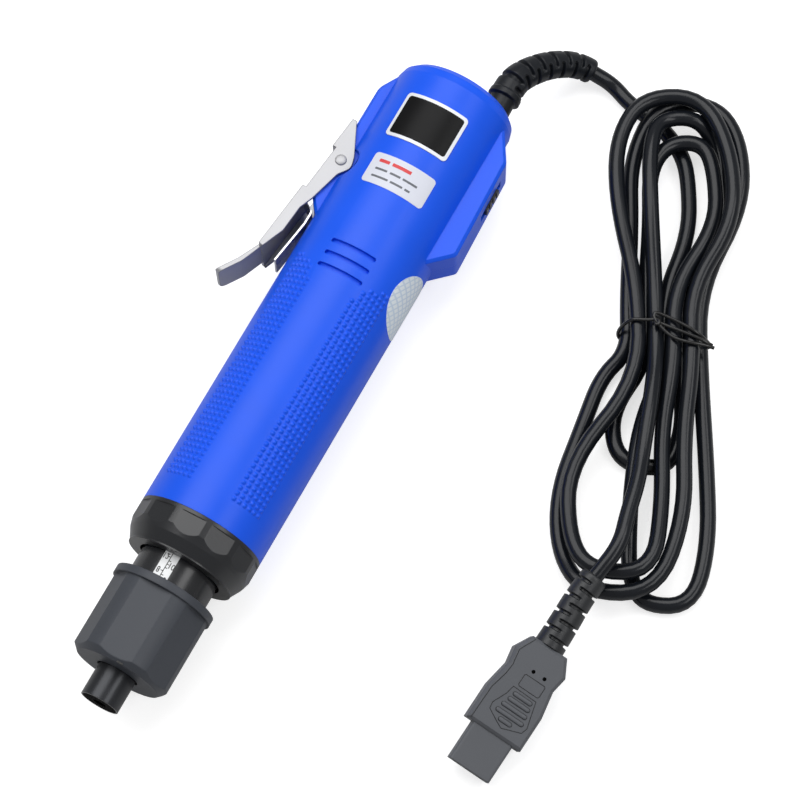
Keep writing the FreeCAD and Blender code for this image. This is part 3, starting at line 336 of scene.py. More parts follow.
along_tool = (0.1, 1, 1)
blue_shell = finish("Blue shell", (0.004, 0.088, 0.77), 0.38, grain=0.25, edge=0.4, shine=0.28)
black_cover = finish("Black cover", (0.0115, 0.0125, 0.015), 0.30, grain=0.2, edge=0.3)
slate_nut = finish("Slate nut", (0.042, 0.047, 0.058), 0.46, grain=0.35, edge=0.6, shine=0.35)
black_neck = finish("Black neck", (0.013, 0.0138, 0.016), 0.24, edge=0.2)
white_strip = finish("White strip", (0.82, 0.83, 0.84), 0.45, edge=0.05)
black_ink = finish("Black ink", (0.012, 0.012, 0.012), 0.5, edge=0.02)
black_steel = finish("Black steel", (0.026, 0.028, 0.032), 0.30, metal=0.5, grain=0.15, stretch=along_tool,
                     edge=0.2)
# Painted shade: the bore and the face round the mouth of the bit socket are blackened.
dark_inside(black_steel, 5.6, 0.5)
bright_steel = finish("Bright steel", (0.60, 0.60, 0.61), 0.28, metal=1.0, edge=0.1)
# Painted shade along the lever's edges.
lever_steel = finish("Lever steel", (0.40, 0.40, 0.41), 0.46, metal=0.6, grain=0.08, stretch=along_tool,
                     edge=0.35, edge_shade=0.2)
black_knob = finish("Black knob", (0.012, 0.012, 0.013), 0.4, edge=0.2)
cord_rubber = finish("Cord rubber", (0.0060, 0.0074, 0.0104), 0.22, grain=0.05, edge=0.05, shine=0.30)
tail_rubber = finish("Tail rubber", (0.0062, 0.0077, 0.0107), 0.38, grain=0.25, edge=0.1, shine=0.28)
boot_rubber = finish("Boot rubber", (0.0125, 0.0138, 0.0162), 0.42, grain=0.25, edge=0.1)
# Painted shade along the plug's edges.
plug_plastic = finish("Plug plastic", (0.088, 0.093, 0.104), 0.50, grain=0.35, edge=0.35, shine=0.4,
                      edge_shade=0.3)
plug_line = finish("Plug line", (0.012, 0.013, 0.015), 0.55, edge=0.05)
tie_black = finish("Tie wire", (0.008, 0.008, 0.008), 0.25, edge=0.05)
brass = finish("Brass", (0.80, 0.62, 0.28), 0.3, metal=1.0, edge=0.05)
green_board = finish("Green board", (0.03, 0.22, 0.08), 0.5, edge=0.1)
foil = finish("Label foil", (0.62, 0.64, 0.72), 0.5, grain=0.05, stretch=(1, 0.1, 0.1), edge=0.05)
sticker_foil = finish("Sticker foil", (0.72, 0.78, 0.83), 0.42, edge=0.05)
crossed_lines(sticker_foil, (0.53, 0.63, 0.76), 240.0)
label_red = finish("Label red", (0.62, 0.035, 0.04), 0.5, edge=0.02)
painted_hole_shade = finish("Hole black", (0.003, 0.003, 0.003), 0.6, metal=1.0, grain=0.02, edge=0.02)
label_ink = finish("Label ink", (0.11, 0.12, 0.14), 0.5, edge=0.02)
badge_black = finish("Badge black", (0.004, 0.004, 0.0045), 0.34, grain=0.03, edge=0.1, shine=0.12)
badge_rim = finish("Badge rim", (0.72, 0.74, 0.78), 0.4, metal=0.1, edge=0.15)
print("finishes", len(bpy.data.materials))

# %% [markdown]
# ## Finishes of the solids
# Every solid keeps its own shape and only gets its finish.

# %% Dress the solids
dressing = {
    blue_shell: ["front_shell", "rear_shell"],
    black_cover: ["front_cover"],
    black_neck: ["clutch_case"],
    white_strip: ["scale_strip", "start_plunger"],
    slate_nut: ["torque_nut"],
    black_steel: ["spindle", "bit_sleeve"],
    lever_steel: ["start_lever", "lever_pin"],
    bright_steel: ["lever_spring", "thrust_washer", "clutch_spring", "clutch_plate", "output_carrier",
                   "ring_gear", "motor_pinion", "sleeve_spring", "planet_1", "planet_2", "planet_3", "motor"],
    black_knob: ["reverse_knob", "reverse_switch", "start_switch", "brake_relay"],
    green_board: ["circuit_board"],
    plug_plastic: ["plug_body", "plug_nose"],
    brass: ["plug_contacts"],
}
for material, names in dressing.items():
    for name in names:
        nodes[name].data.materials.clear()
        nodes[name].data.materials.append(material)
print("dressed", sum(len(names) for names in dressing.values()))

# %% [markdown]
# ## Bends of the cord
# The cord leaves the tail through a boot, lies down on the floor, runs through loops that a tie draws
# in at the waist, and ends at the plug. It is one smooth spline. Where the loops pass a known place in
# a known direction, the spline gets one control point behind that place and one ahead of it, so it
# touches the place and bends evenly between two of them.

# %% Control points of a bend


def even_reach(start, start_way, end, end_way):
    """How far ahead of one place and behind the next the control points lie, the same for both."""
    across = end - start
    spread = 2 * (1 - start_way.dot(end_way))
    if abs(spread) < 1e-9:
        return across.dot(across) / (4 * across.dot(end_way))
    pull = across.dot(start_way + end_way)
    return (math.sqrt(pull * pull + spread * across.dot(across)) - pull) / spread


def bend_points(stops):
    """Control points between (place, direction) stops."""
    points = []
    for (start, start_way), (end, end_way) in zip(stops, stops[1:]):
        reach = even_reach(start, start_way, end, end_way)
        points += [start + start_way * reach, end - end_way * reach]
    return points


# %% Places of the loops
cord_d = 5.0
cord_rest = 2.7
hank_centre = Vector((34.7 - tail, 70.0 + barrel_r, 0.0))
hank_along = Vector((0.879, 0.476, 0.0)).normalized()
hank_across = Vector((-hank_along.y, hank_along.x, 0.0))
hank_pitch = 5.5
hank_lift = 1.7
waist_step = 2.75
waist_down = (0, -4, -3, -2, -1)
waist_down_level = (0, 0, 1, 0, 1)
waist_up = (4, 3, 1, 2)
waist_up_level = (0, 1, 1, 0)
lower_turns = (
    ((41.0, -9.6, 1), (73.5, -12.0, 0), (87.0, -3.0, 0), (58.0, 12.2, 0)),
    ((19.0, -21.5, 0), (62.0, -33.4, 0), (84.6, -17.3, 1), (47.0, 4.9, 1)),
    ((61.0, -30.4, 1), (79.0, -17.2, 1.55), (44.0, -1.8, 1)),
    ((33.0, -16.2, 0), (43.0, -5.6, 0), (24.0, 5.2, 0)))
upper_turns = (
    ((-56.0, 25.4, 1), (-76.6, 10.0, 1), (-46.0, -9.6, 1)),
    ((-46.0, 22.0, 2), (-76.5, 3.0, 2), (-53.0, -14.2, 2)),
    ((-47.5, 17.0, 1), (-63.0, 8.4, 1), (-48.0, -3.6, 1)),
    ((-54.0, 18.8, 0), (-70.2, 6.2, 1.55), (-52.0, -3.8, 2.2)))
hank_start = (-46.0, 9.0, 0)
hank_end = (32.0, -6.2, 2)
hank_end_way = (0.985, -0.17)


def hank_point(along, across, level, lift=0.0):
    """Place in the frame of the loops, in millimetres."""
    flat = hank_centre + hank_along * along + hank_across * across
    return Vector((flat.x, flat.y, floor_z + cord_rest + level * hank_pitch + lift))


def hank_way(along, across):
    """Flat direction in the frame of the loops."""
    return (hank_along * along + hank_across * across).normalized()


def waist_stop(step, level, way):
    """Place and direction of a strand under the tie."""
    return hank_point(0, step * waist_step, level, hank_lift), hank_way(way, 0)


def hank_stops():
    """Places and directions along the loops, turn after turn."""
    stops = [(hank_point(*hank_start), hank_way(1, 0))]
    for i, rows in enumerate(lower_turns):
        stops.append(waist_stop(waist_down[i], waist_down_level[i], 1))
        ways = [(1, 0), (0, 1), (-1, 0)]
        if len(rows) == 4:
            ways.insert(0, (rows[1][0], rows[1][1] - waist_down[i] * waist_step))
        for row, way in zip(rows, ways):
            stops.append((hank_point(*row), hank_way(*way)))
        stops.append(waist_stop(waist_up[i], waist_up_level[i], -1))
        for row, way in zip(upper_turns[i], ((-1, 0), (0, -1), (1, 0))):
            stops.append((hank_point(*row), hank_way(*way)))
    stops.append(waist_stop(waist_down[-1], waist_down_level[-1], 1))
    stops.append((hank_point(*hank_end), hank_way(*hank_end_way)))
    return stops


loop_stops = hank_stops()
loop_points = bend_points(loop_stops)
print("control points of the loops", len(loop_points))

# %% [markdown]
# ## Ends of the cord
# The cord runs out of a ribbed boot at the tail and into another at the plug. The plug lies tilted on
# the floor, so its details are placed in a frame of its own: along it, across it and out of its face.

# %% Boots and plug frame
backwards = Vector((-1.0, 0.0, 0.0))
relief_root = Vector((-tail, barrel_r - 8.0, 0.0))
relief_elbow = relief_root + backwards * 9.0
relief_bend = relief_elbow + Vector((-14.2, 4.6, -4.6))
relief_bend_way = Vector((-0.77, 0.48, -0.42)).normalized()
relief_tip = relief_elbow + Vector((-24.3, 17.5, floor_z + 6.2))
relief_way = Vector((-0.10, 0.90, -0.42)).normalized()
relief_stops = [(relief_root, backwards), (relief_elbow, backwards), (relief_bend, relief_bend_way),
                (relief_tip, relief_way)]
plug_nose_l = 12.7
plug_back = plug_nose_l + 30.6
plug_boot_l = 25.2
plug_face_t = 4.7
plug_roll = math.radians(14.0)
plug_nose_place = hank_centre + Vector((150.6, 12.5, floor_z + 6.0))
plug_relief_place = hank_centre + Vector((84.2, 18.9, floor_z + 16.2))
plug_along = (plug_relief_place - plug_nose_place).normalized()
plug_flat = Vector((0.0, 0.0, 1.0)).cross(plug_along).normalized()
plug_up = plug_along.cross(plug_flat)
plug_side = plug_flat * math.cos(plug_roll) + plug_up * math.sin(plug_roll)
plug_out = plug_up * math.cos(plug_roll) - plug_flat * math.sin(plug_roll)


def in_plug(along, side, out):
    """Place in the plug's frame, in millimetres of the shared frame."""
    return plug_nose_place + plug_along * along + plug_side * side + plug_out * out


plug_boot_root = in_plug(plug_back, 0, 0)
plug_boot_end = plug_boot_root + plug_along * plug_boot_l + Vector((0.0, 0.0, 0.3))
plug_boot_way = (plug_along + Vector((0.0, 0.10, 0.02))).normalized()
print("free cord from", [round(v, 1) for v in relief_tip], "to", [round(v, 1) for v in plug_boot_end])

# %% [markdown]
# ## Cord
# The cord is one curve with a round section, so it has no seams and bends evenly. Its first and last
# points lie inside the boots.

# %% Cord curve


def linked(made):
    """Object put into the scene."""
    bpy.context.scene.collection.objects.link(made)
    return made


def curve_object(name, kind, points, thick, material=None, section=6):
    """Object of one spline through or near points in millimetres, round where it has a thickness."""
    data = bpy.data.curves.new(name, "CURVE")
    data.dimensions = "3D"
    data.bevel_depth = thick / 2 * mm
    data.bevel_resolution = section
    spline = data.splines.new(kind)
    spline.points.add(len(points) - 1)
    for point, place in zip(spline.points, points):
        point.co = (*(Vector(place) * mm), 1.0)
    if material:
        data.materials.append(material)
    return linked(bpy.data.objects.new(name, data))


def smooth_curve(name, points, thick, material=None, steps=4):
    """Smooth spline with its control points in millimetres, closed at its ends where it has a thickness."""
    made = curve_object(name, "NURBS", points, thick, material)
    made.data.resolution_u = steps
    made.data.use_fill_caps = thick > 0
    made.data.splines[0].order_u = 3
    made.data.splines[0].use_endpoint_u = True
    return made


ground = floor_z + cord_rest
lead_ease = 8.0
lead_points = [relief_tip - relief_way * 5.0, relief_tip, relief_tip + relief_way * lead_ease]
for ahead, beside in ((2.8, 15.0), (4.8, 27.2), (9.8, 36.7)):
    lead_points.append(Vector((relief_tip.x + ahead, relief_tip.y + beside, ground)))
lead_points.append(loop_stops[0][0] - hank_way(1, 0) * lead_ease)
end_place, end_way = loop_stops[-1]
tail_points = [
    end_place + end_way * 10.0, hank_point(52.0, -9.6, 2.35), hank_point(63.0, -13.0, 2.65),
    plug_boot_end + plug_boot_way * 12.0, plug_boot_end, plug_boot_end - plug_boot_way * 5.0]
cord = smooth_curve("cord", lead_points + loop_points + tail_points, cord_d, cord_rubber, steps=6)
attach(cord, "housing")
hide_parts("cord_lead", "cord_hank", "cord_tail")
print("control points of the cord", len(lead_points + loop_points + tail_points))

# %% [markdown]
# ## Trees of geometry nodes
# What repeats or follows a path is grown by geometry nodes. One helper ends a tree, and one turns the
# grown shape into a plain mesh that rides on its body.

# %% Tree helpers


def closing(shape, material, leave):
    """Ends a tree: instances become real, and the shape gets its finish."""
    real = node(shape.tree, "GeometryNodeRealizeInstances", "Geometry", Geometry=shape)
    smooth = node(shape.tree, "GeometryNodeSetShadeSmooth", "Geometry", Geometry=real)
    dressed = node(shape.tree, "GeometryNodeSetMaterial", "Geometry", Geometry=smooth, Material=material)
    fill(shape.tree, leave["Geometry"], dressed)


def grown(name, base, tree, values, body):
    """Plain mesh that a tree grows from a base object, riding on a body."""
    change = base.modifiers.new(name, "NODES")
    change.node_group = tree
    for item in tree.interface.items_tree:
        if item.in_out == "INPUT" and item.name in values:
            change[item.identifier] = values[item.name]
    view = bpy.context.evaluated_depsgraph_get()
    data = bpy.data.meshes.new_from_object(base.evaluated_get(view))
    data.name = name
    base.modifiers.remove(change)
    bpy.data.objects.remove(base)
    made = linked(bpy.data.objects.new(name, data))
    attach(made, body)
    print(name, "faces", len(data.polygons))
    return made


def path_object(name, points):
    """Line of edges read from a smooth spline."""
    line = smooth_curve(name, points, 0, steps=12)
    view = bpy.context.evaluated_depsgraph_get()
    data = bpy.data.meshes.new_from_object(line.evaluated_get(view))
    bpy.data.objects.remove(line)
    return linked(bpy.data.objects.new(name, data))


# %% [markdown]
# ## Boots
# A boot is a tapered rubber sleeve with slots cut from alternate sides, so it bends gently and never
# kinks the cord. The tree sweeps a circle along the path and sets every point's distance from the
# path: a taper, a round end, and a dip inside each slot. A slot is a stadium shape in the unrolled
# surface, so the dip comes from the distance to that shape.

# %% Boot tree
start_r = 0.004
end_run = 0.0012
end_drop = 0.0008
ring_foot = 0.0013
ring_top = 0.0008
ring_share = 0.25
neck_near = -0.0007
neck_far = -0.0012
soft = {"interpolation_type": "SMOOTHSTEP"}


def marked(shape, name, kind, value):
    """Shape whose points carry a value under a name."""
    settings = {"data_type": kind, "domain": "POINT"}
    return node(shape.tree, "GeometryNodeStoreNamedAttribute", "Geometry", settings, Geometry=shape,
                Name=name, Value=value)


def recalled(tree, name, kind):
    """Value that the points carry under a name."""
    return node(tree, "GeometryNodeInputNamedAttribute", "Attribute", {"data_type": kind}, Name=name)


def boot_tree():
    """Tree of a slotted, tapered boot along a line of edges."""
    tree, given, leave = new_tree("Slotted boot", "GeometryNodeTree", {
        "Geometry": None, "Length": 0.04, "Root radius": 0.005, "End radius": 0.004, "Ring": 0.15,
        "Neck step": 0.001, "Slots": 8, "Slots start": 0.2, "Slots end": 0.97, "Slot width": 0.001,
        "Slot share": 0.55, "Slot depth": 0.001, "Phase": 0.0, "Rings": 200, "Sides": 96}, {"Geometry": None})
    line = node(tree, "GeometryNodeMeshToCurve", "Curve", Mesh=given("Geometry"))
    even = node(tree, "GeometryNodeResampleCurve", "Curve", Curve=line, Count=given("Rings"))
    share = node(tree, "GeometryNodeSplineParameter", "Factor")
    here = node(tree, "GeometryNodeInputPosition", "Position")
    path = marked(marked(even, "along", "FLOAT", share), "middle", "FLOAT_VECTOR", here)
    circle = node(tree, "GeometryNodeCurvePrimitiveCircle", "Curve", Resolution=given("Sides"),
                  Radius=start_r)
    around = marked(circle, "around", "FLOAT", share)
    tube = node(tree, "GeometryNodeCurveToMesh", "Mesh", Curve=path, Profile_Curve=around, Fill_Caps=True)
    u = recalled(tree, "along", "FLOAT")
    v = recalled(tree, "around", "FLOAT")
    axis = recalled(tree, "middle", "FLOAT_VECTOR")
    taper = u * (given("End radius") - given("Root radius")) + given("Root radius")
    cut = slot_dip(given, u, v, taper) * given("Slot depth")
    edge = (1.0 - (1.0 - u) * given("Length") / end_run).by("MAXIMUM", 0.0)
    blunt = (1.0 - (1.0 - edge * edge).by("SQRT")) * end_drop
    radius = ring_rise(given, u) + (taper - cut - blunt)
    out = vector("NORMALIZE", vector("SUBTRACT", here, axis))
    place = vector("ADD", vector("SCALE", out, Scale=radius), axis)
    boot = node(tree, "GeometryNodeSetPosition", "Geometry", Geometry=tube, Position=place)
    closing(boot, boot_rubber, leave)
    return tree


def slot_dip(given, u, v, radius):
    """One inside the slots, and nothing elsewhere."""
    span = given("Slots end") - given("Slots start")
    count = (u - given("Slots start")) / span * given("Slots")
    pitch = span * given("Length") / given("Slots")
    across = abs(count.by("FRACT") - 0.5) * pitch
    odd = count.by("FLOOR").by("FLOORED_MODULO", 2.0) * 0.5
    turn = (v + odd + given("Phase")).by("FRACT")
    girth = radius * (2 * math.pi)
    half = given("Slot width") * 0.5
    run = girth * given("Slot share") * 0.5 - half
    beyond = (abs(turn - 0.5) * girth - run).by("MAXIMUM", 0.0)
    away = (across * across + beyond * beyond).by("SQRT")
    slot = ramp(away / half, soft, From_Min=1.25, From_Max=0.75)
    return slot * (count.by("GREATER_THAN", 0.0) * count.by("LESS_THAN", given("Slots")))


def ring_rise(given, u):
    """A low ring, and behind it a neck that is thinner than the boot."""
    past_ring = (u - given("Ring")) * given("Length")
    ring = ramp(abs(past_ring), soft, From_Min=ring_foot, From_Max=ring_top)
    thin = ramp(past_ring, soft, From_Min=neck_near, From_Max=neck_far)
    return given("Neck step") * (ring * ring_share - thin)


slotted_boot = boot_tree()
print("nodes in the boot tree", len(slotted_boot.nodes))

# %% Boots at both ends
tail_boot_points = [relief_root + Vector((1.0, 0, 0))] + bend_points(relief_stops) + [relief_tip]
tail_boot = grown("tail_boot", path_object("tail_boot_path", tail_boot_points), slotted_boot, {
    "Length": 0.045, "Root radius": 0.0053, "End radius": 0.0040, "Ring": 0.165, "Neck step": 0.001,
    "Slots": 13, "Slots start": 0.195, "Slots end": 0.96, "Slot width": 0.0014, "Slot depth": 0.0014,
    "Slot share": 0.56, "Phase": 0.38, "Rings": 300, "Sides": 96}, "housing")
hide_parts("strain_relief")
tail_boot.data.materials[0] = tail_rubber
plug_boot_stops = [(plug_boot_root, plug_along), (plug_boot_end, plug_boot_way)]
plug_boot_points = [plug_boot_root] + bend_points(plug_boot_stops) + [plug_boot_end]
plug_boot = grown("plug_boot", path_object("plug_boot_path", plug_boot_points), slotted_boot, {
    "Length": 0.0252, "Root radius": 0.0048, "End radius": 0.0043, "Ring": 0.02, "Neck step": 0.0,
    "Slots": 8, "Slots start": 0.05, "Slots end": 0.94, "Slot width": 0.0010, "Slot depth": 0.0013,
    "Slot share": 0.57, "Phase": 0.5, "Rings": 240, "Sides": 96}, "housing")
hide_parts("plug_strain_relief")

# %% [markdown]
# ## Grip dots
# The grip has two bands of small pointed studs moulded in the shell, in even rows, with one corner cut
# off. The tree lays a flat grid, drops that corner, rolls the grid round the barrel and puts a low stud
# on every point.

# %% Dot tree
corner_power = 4.0
stud_power = 1.5
stud_sunk = 0.00005
stud_points = 7


def dot_tree():
    """Tree of a band of dots on a round barrel."""
    tree, given, leave = new_tree("Dot band", "GeometryNodeTree", {
        "Geometry": None, "Start": 0.068, "Length": 0.08, "Columns": 42, "Rows": 6, "Angle": 0.6,
        "Width": 0.48, "Slant": 0.007, "Barrel radius": 0.02, "Pad width": 0.0014, "Pad height": 0.0004},
        {"Geometry": None})
    grid = node(tree, "GeometryNodeMeshGrid", "Mesh", Size_X=given("Length"), Size_Y=given("Width"),
                Vertices_X=given("Columns"), Vertices_Y=given("Rows"))
    x = node(tree, "ShaderNodeSeparateXYZ", "X", Vector=node(tree, "GeometryNodeInputPosition", "Position"))
    y = x.beside("Y")
    outer = y / given("Width") * given("Angle").by("SIGN")
    reach = (0.5 - outer).by("POWER", corner_power) * given("Slant") + x
    late = reach.by("GREATER_THAN", given("Length") * 0.501)
    cut = node(tree, "GeometryNodeDeleteGeometry", "Geometry", {"domain": "POINT"}, Geometry=grid,
               Selection=late)
    station = given("Length") * 0.5 + given("Start") + x
    angle = given("Angle") + y
    radius = given("Barrel radius")
    rolled = node(tree, "ShaderNodeCombineXYZ", "Vector", X=station * -1.0, Y=angle.by("SINE") * radius,
                  Z=angle.by("COSINE") * radius)
    laid = node(tree, "GeometryNodeSetPosition", "Geometry", Geometry=cut, Position=rolled)
    out = node(tree, "ShaderNodeCombineXYZ", "Vector", Y=y, Z=x.beside("Z"))
    turn = node(tree, "FunctionNodeAlignRotationToVector", "Rotation", {"axis": "Z"}, Vector=out)
    sheet = node(tree, "GeometryNodeMeshGrid", "Mesh", Size_X=given("Pad width"), Size_Y=given("Pad width"),
                 Vertices_X=stud_points, Vertices_Y=stud_points)
    height = given("Pad height")
    for side in (x, y):
        height = height * (1.0 - abs(side / given("Pad width") * 2.0).by("POWER", stud_power))
    lifted = node(tree, "ShaderNodeCombineXYZ", "Vector", Z=height - stud_sunk)
    stud = node(tree, "GeometryNodeSetPosition", "Geometry", Geometry=sheet, Offset=lifted)
    dots = node(tree, "GeometryNodeInstanceOnPoints", "Instances", Points=laid, Instance=stud, Rotation=turn)
    closing(dots, blue_shell, leave)
    return tree


dot_band = dot_tree()


def seed_object(name):
    """Empty base for a tree that makes all of its shape."""
    return linked(bpy.data.objects.new(name, bpy.data.meshes.new(name)))


band_middle = math.radians(35.6)
band_width = math.radians(27.6)
for name, angle in (("grip_dots_lever_side", -band_middle), ("grip_dots_switch_side", band_middle)):
    grown(name, seed_object(name + "_seed"), dot_band, {
        "Start": 0.0686, "Length": 0.0788, "Columns": 42, "Rows": 6, "Angle": angle, "Width": band_width,
        "Slant": 0.006, "Barrel radius": barrel_r * mm, "Pad width": 0.0016, "Pad height": 0.0007},
        "housing")

# %% [markdown]
# ## Plates on the barrel
# A foil label, a badge with a bright rim and a round sticker are thin plates that follow the barrel.
# Each is a grid that is rolled round the axis, narrower near its ends by its corner rounding, with a
# second layer under it so that it is a closed sheet.

# %% Rolled plate
crease = math.radians(35)
plate_sunk = 0.15


def smooth_mesh(data, turn_out):
    """Merges double points of a mesh, turns its faces out if asked, and shades it smooth up to creases."""
    shape = bmesh.new()
    shape.from_mesh(data)
    bmesh.ops.remove_doubles(shape, verts=shape.verts, dist=1e-7)
    if turn_out:
        bmesh.ops.recalc_face_normals(shape, faces=shape.faces)
    shape.to_mesh(data)
    shape.free()
    data.polygons.foreach_set("use_smooth", [True] * len(data.polygons))
    data.set_sharp_from_angle(angle=crease)


def mesh_piece(name, points, faces, material, body):
    """Mesh from points in millimetres, riding on a body."""
    data = bpy.data.meshes.new(name)
    data.from_pydata([Vector(p) * mm for p in points], [], faces)
    smooth_mesh(data, True)
    data.materials.append(material)
    made = linked(bpy.data.objects.new(name, data))
    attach(made, body)
    print(name, "faces", len(data.polygons))
    return made


def rolled_point(station, angle, radius):
    """Place on a cylinder round the spindle axis, in millimetres."""
    return Vector((-station, radius * math.sin(angle), radius * math.cos(angle)))


def rolled_plate(name, station, half, angle, half_wide, corner, stand, material, round_r=barrel_r,
                 body="housing"):
    """Thin plate with rounded corners on a round part, standing a little proud."""
    rows, columns = 40, 40
    points = []
    for radius in (round_r + stand, round_r - plate_sunk):
        for i in range(rows + 1):
            along = -half * math.cos(math.pi * i / rows)
            near = max(0.0, corner - (half - abs(along)))
            wide = half_wide - corner + math.sqrt(max(1e-4, corner * corner - near * near))
            for j in range(columns + 1):
                arc = wide * (2 * j / columns - 1)
                points.append(rolled_point(station + along, angle + arc / round_r, radius))
    layer = (rows + 1) * (columns + 1)
    faces = []
    for i in range(rows):
        for j in range(columns):
            a = i * (columns + 1) + j
            quad = (a, a + 1, a + columns + 2, a + columns + 1)
            faces += [quad, tuple(v + layer for v in reversed(quad))]
    rim = [j for j in range(columns + 1)] + [i * (columns + 1) + columns for i in range(1, rows + 1)]
    rim += [rows * (columns + 1) + j for j in reversed(range(columns))]
    rim += [i * (columns + 1) for i in reversed(range(1, rows))]
    for a, b in zip(rim, rim[1:] + rim[:1]):
        faces.append((a, b, b + layer, a + layer))
    return mesh_piece(name, points, faces, material, body)


# %% Label, badge and sticker
plate_wide = math.radians(31.0) * barrel_r
label_angle = math.radians(2.0)
label_rows = (
    (178.6, 0.35, label_ink, ((-8.2, -2.4), (-1.6, 2.6), (3.4, 5.2))),
    (181.2, 0.35, label_ink, ((-8.2, -4.0), (-3.0, 0.6), (1.4, 6.4))),
    (184.1, 0.55, label_red, ((-8.2, -4.6), (-3.6, 2.8))))
rolled_plate("rating_label", 181.3, 5.3, label_angle, plate_wide, 1.2, 0.12, foil)
for row, (station, half, ink, dashes) in enumerate(label_rows):
    for place, (first, last) in enumerate(dashes):
        angle = label_angle + (first + last) / 2 / barrel_r
        rolled_plate("label_row_%d_%d" % (row, place), station, half, angle, (last - first) / 2, 0.15, 0.16,
                     ink)
badge_station = 201.0
badge_angle = math.radians(-1.0)
rim_wide = 1.1
rolled_plate("badge_rim", badge_station, 8.0, badge_angle, plate_wide, 1.4, 0.30, badge_rim)
rolled_plate("badge_panel", badge_station, 8.0 - rim_wide, badge_angle, plate_wide - rim_wide, 0.9, 0.36,
             badge_black)
sticker_r = 10.6
rolled_plate("round_sticker", 150.3, sticker_r, math.radians(81.5), sticker_r, sticker_r, 0.10, sticker_foil)

# %% [markdown]
# ## Floor of the vents
# Behind each vent the shell has an inner wall that keeps dust out, so one sees blue in the slots. One
# thin plate inside the shell does that for all three.

# %% Vent floor
vent_wall = 1.3
rolled_plate("vent_floor", 157.0, 14.0, 0.0, 9.5, 1.0, 0.1, blue_shell, barrel_r - vent_wall)

# %% [markdown]
# ## Marks of the torque scale
# The strip on the neck has a centre line, ticks to both sides by turns, and a number at every second
# tick. They are ink, so each mark is a flat sheet a hair above the strip, rolled round the neck.

# %% Scale marks


def ink_sheet(station, half, arc, half_wide):
    """Corners and face of a flat mark on the strip."""
    corners = [(station + a * half, arc + b * half_wide) for a, b in ((-1, -1), (1, -1), (1, 1), (-1, 1))]
    return corners, [(0, 1, 2, 3)]


def joined(shapes):
    """Points and faces of several shapes as one."""
    points, faces = [], []
    for places, corners in shapes:
        faces += [tuple(v + len(points) for v in face) for face in corners]
        points += places
    return points, faces


def digit_shape(text, size):
    """Flat mesh of a number, as corner places and faces in millimetres about its middle."""
    words = bpy.data.curves.new("digits", "FONT")
    words.body = text
    words.size = size
    words.offset = size * 0.012
    words.align_x = "CENTER"
    words.align_y = "CENTER"
    holder = linked(bpy.data.objects.new("digits", words))
    view = bpy.context.evaluated_depsgraph_get()
    data = bpy.data.meshes.new_from_object(holder.evaluated_get(view))
    places = [(v.co.x, v.co.y) for v in data.vertices]
    faces = [tuple(p.vertices) for p in data.polygons]
    bpy.data.objects.remove(holder)
    bpy.data.meshes.remove(data)
    return places, faces


strip_angle = math.radians(-5.0)
unit_step = 1.167
top_mark = 45.6
last_unit = 12
line_half = 0.12
tick_half = 0.4
digit_out = 1.6
digit_size = 2.6
digit_narrow = 0.85
ink_r = neck_r + 0.03
ink_shapes = [ink_sheet(38.0, 9.6, 0.0, line_half)]
for unit in range(last_unit + 1):
    station = top_mark - (last_unit - unit) * unit_step
    side = -1 if unit % 4 == 0 else 1
    ink_shapes.append(ink_sheet(station, line_half, side * tick_half, tick_half))
    if unit % 2 == 0:
        places, digit_faces = digit_shape(str(unit), digit_size)
        spots = [(station - y, side * digit_out + x * digit_narrow) for x, y in places]
        ink_shapes.append((spots, digit_faces))
ink_points, ink_faces = joined(ink_shapes)
ink_places = [rolled_point(station, strip_angle + arc / ink_r, ink_r) for station, arc in ink_points]
mesh_piece("scale_marks", ink_places, ink_faces, black_ink, "housing")

# %% [markdown]
# ## Tie
# A thin wire goes round the waist of the loops, is hooked round itself on top and goes back to one
# side, where both ends stick out. It is one spline, with two points near each corner of the bundle so
# that it stays close to the cord.

# %% Wire tie
tie_d = 1.1


def tie_place(across, up, along):
    """Place near the waist of the loops, up being above the floor."""
    flat = hank_centre + hank_across * across + hank_along * along
    return Vector((flat.x, flat.y, floor_z + up))


waist_low = cord_rest + hank_lift
waist_high = waist_low + hank_pitch
tie_gap = 0.25
wrap = cord_d / 2 + tie_gap + tie_d / 2
top = waist_high + wrap
side_out = 4 * waist_step + wrap
tie_rows = [
    (14.8, top - 1.6, 7.5), (12.6, top - 1.2, 6.9), (11.3, top - 0.6, 6.7), (7.4, top + 0.3, 6.4),
    (2.2, top + 0.4, 5.0), (-1.4, top + 0.7, 1.6), (-3.6, top + 1.0, -1.4), (-3.4, top + 1.2, -3.2),
    (-1.8, top + 0.9, -3.0),
    (4.5, top + 0.4, -0.2), (10.4, top - 0.2, 3.4), (side_out - 0.2, waist_high - 2.2, 5.0),
    (side_out, waist_low - 0.6, 4.2), (side_out - wrap + 1.0, waist_low - wrap + 0.2, 3.6),
    (wrap - side_out - 1.0, waist_low - wrap + 0.2, 1.2), (-side_out, waist_low - 0.6, 0.8),
    (0.2 - side_out, waist_high - 2.2, -0.4), (-10.6, top - 0.2, -1.6), (-7.8, top + 0.3, -1.2),
    (-4.6, top + 0.5, -1.0), (-3.0, top + 0.9, -1.2), (-1.9, top + 1.5, -0.4), (-2.2, top + 1.7, 1.0),
    (-3.4, top + 1.3, 0.6), (-3.2, top + 0.8, -0.6), (-0.6, top + 0.6, 0.6), (4.6, top + 0.4, 2.6),
    (10.6, top - 0.2, 5.0), (12.6, top - 0.9, 6.0), (14.2, top - 1.9, 6.5)]
tie_points = [tie_place(*row) for row in tie_rows]
tie = smooth_curve("hank_tie_wire", tie_points, tie_d, tie_black, steps=5)
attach(tie, "housing")
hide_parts("hank_tie")
print("tie points", len(tie_points))
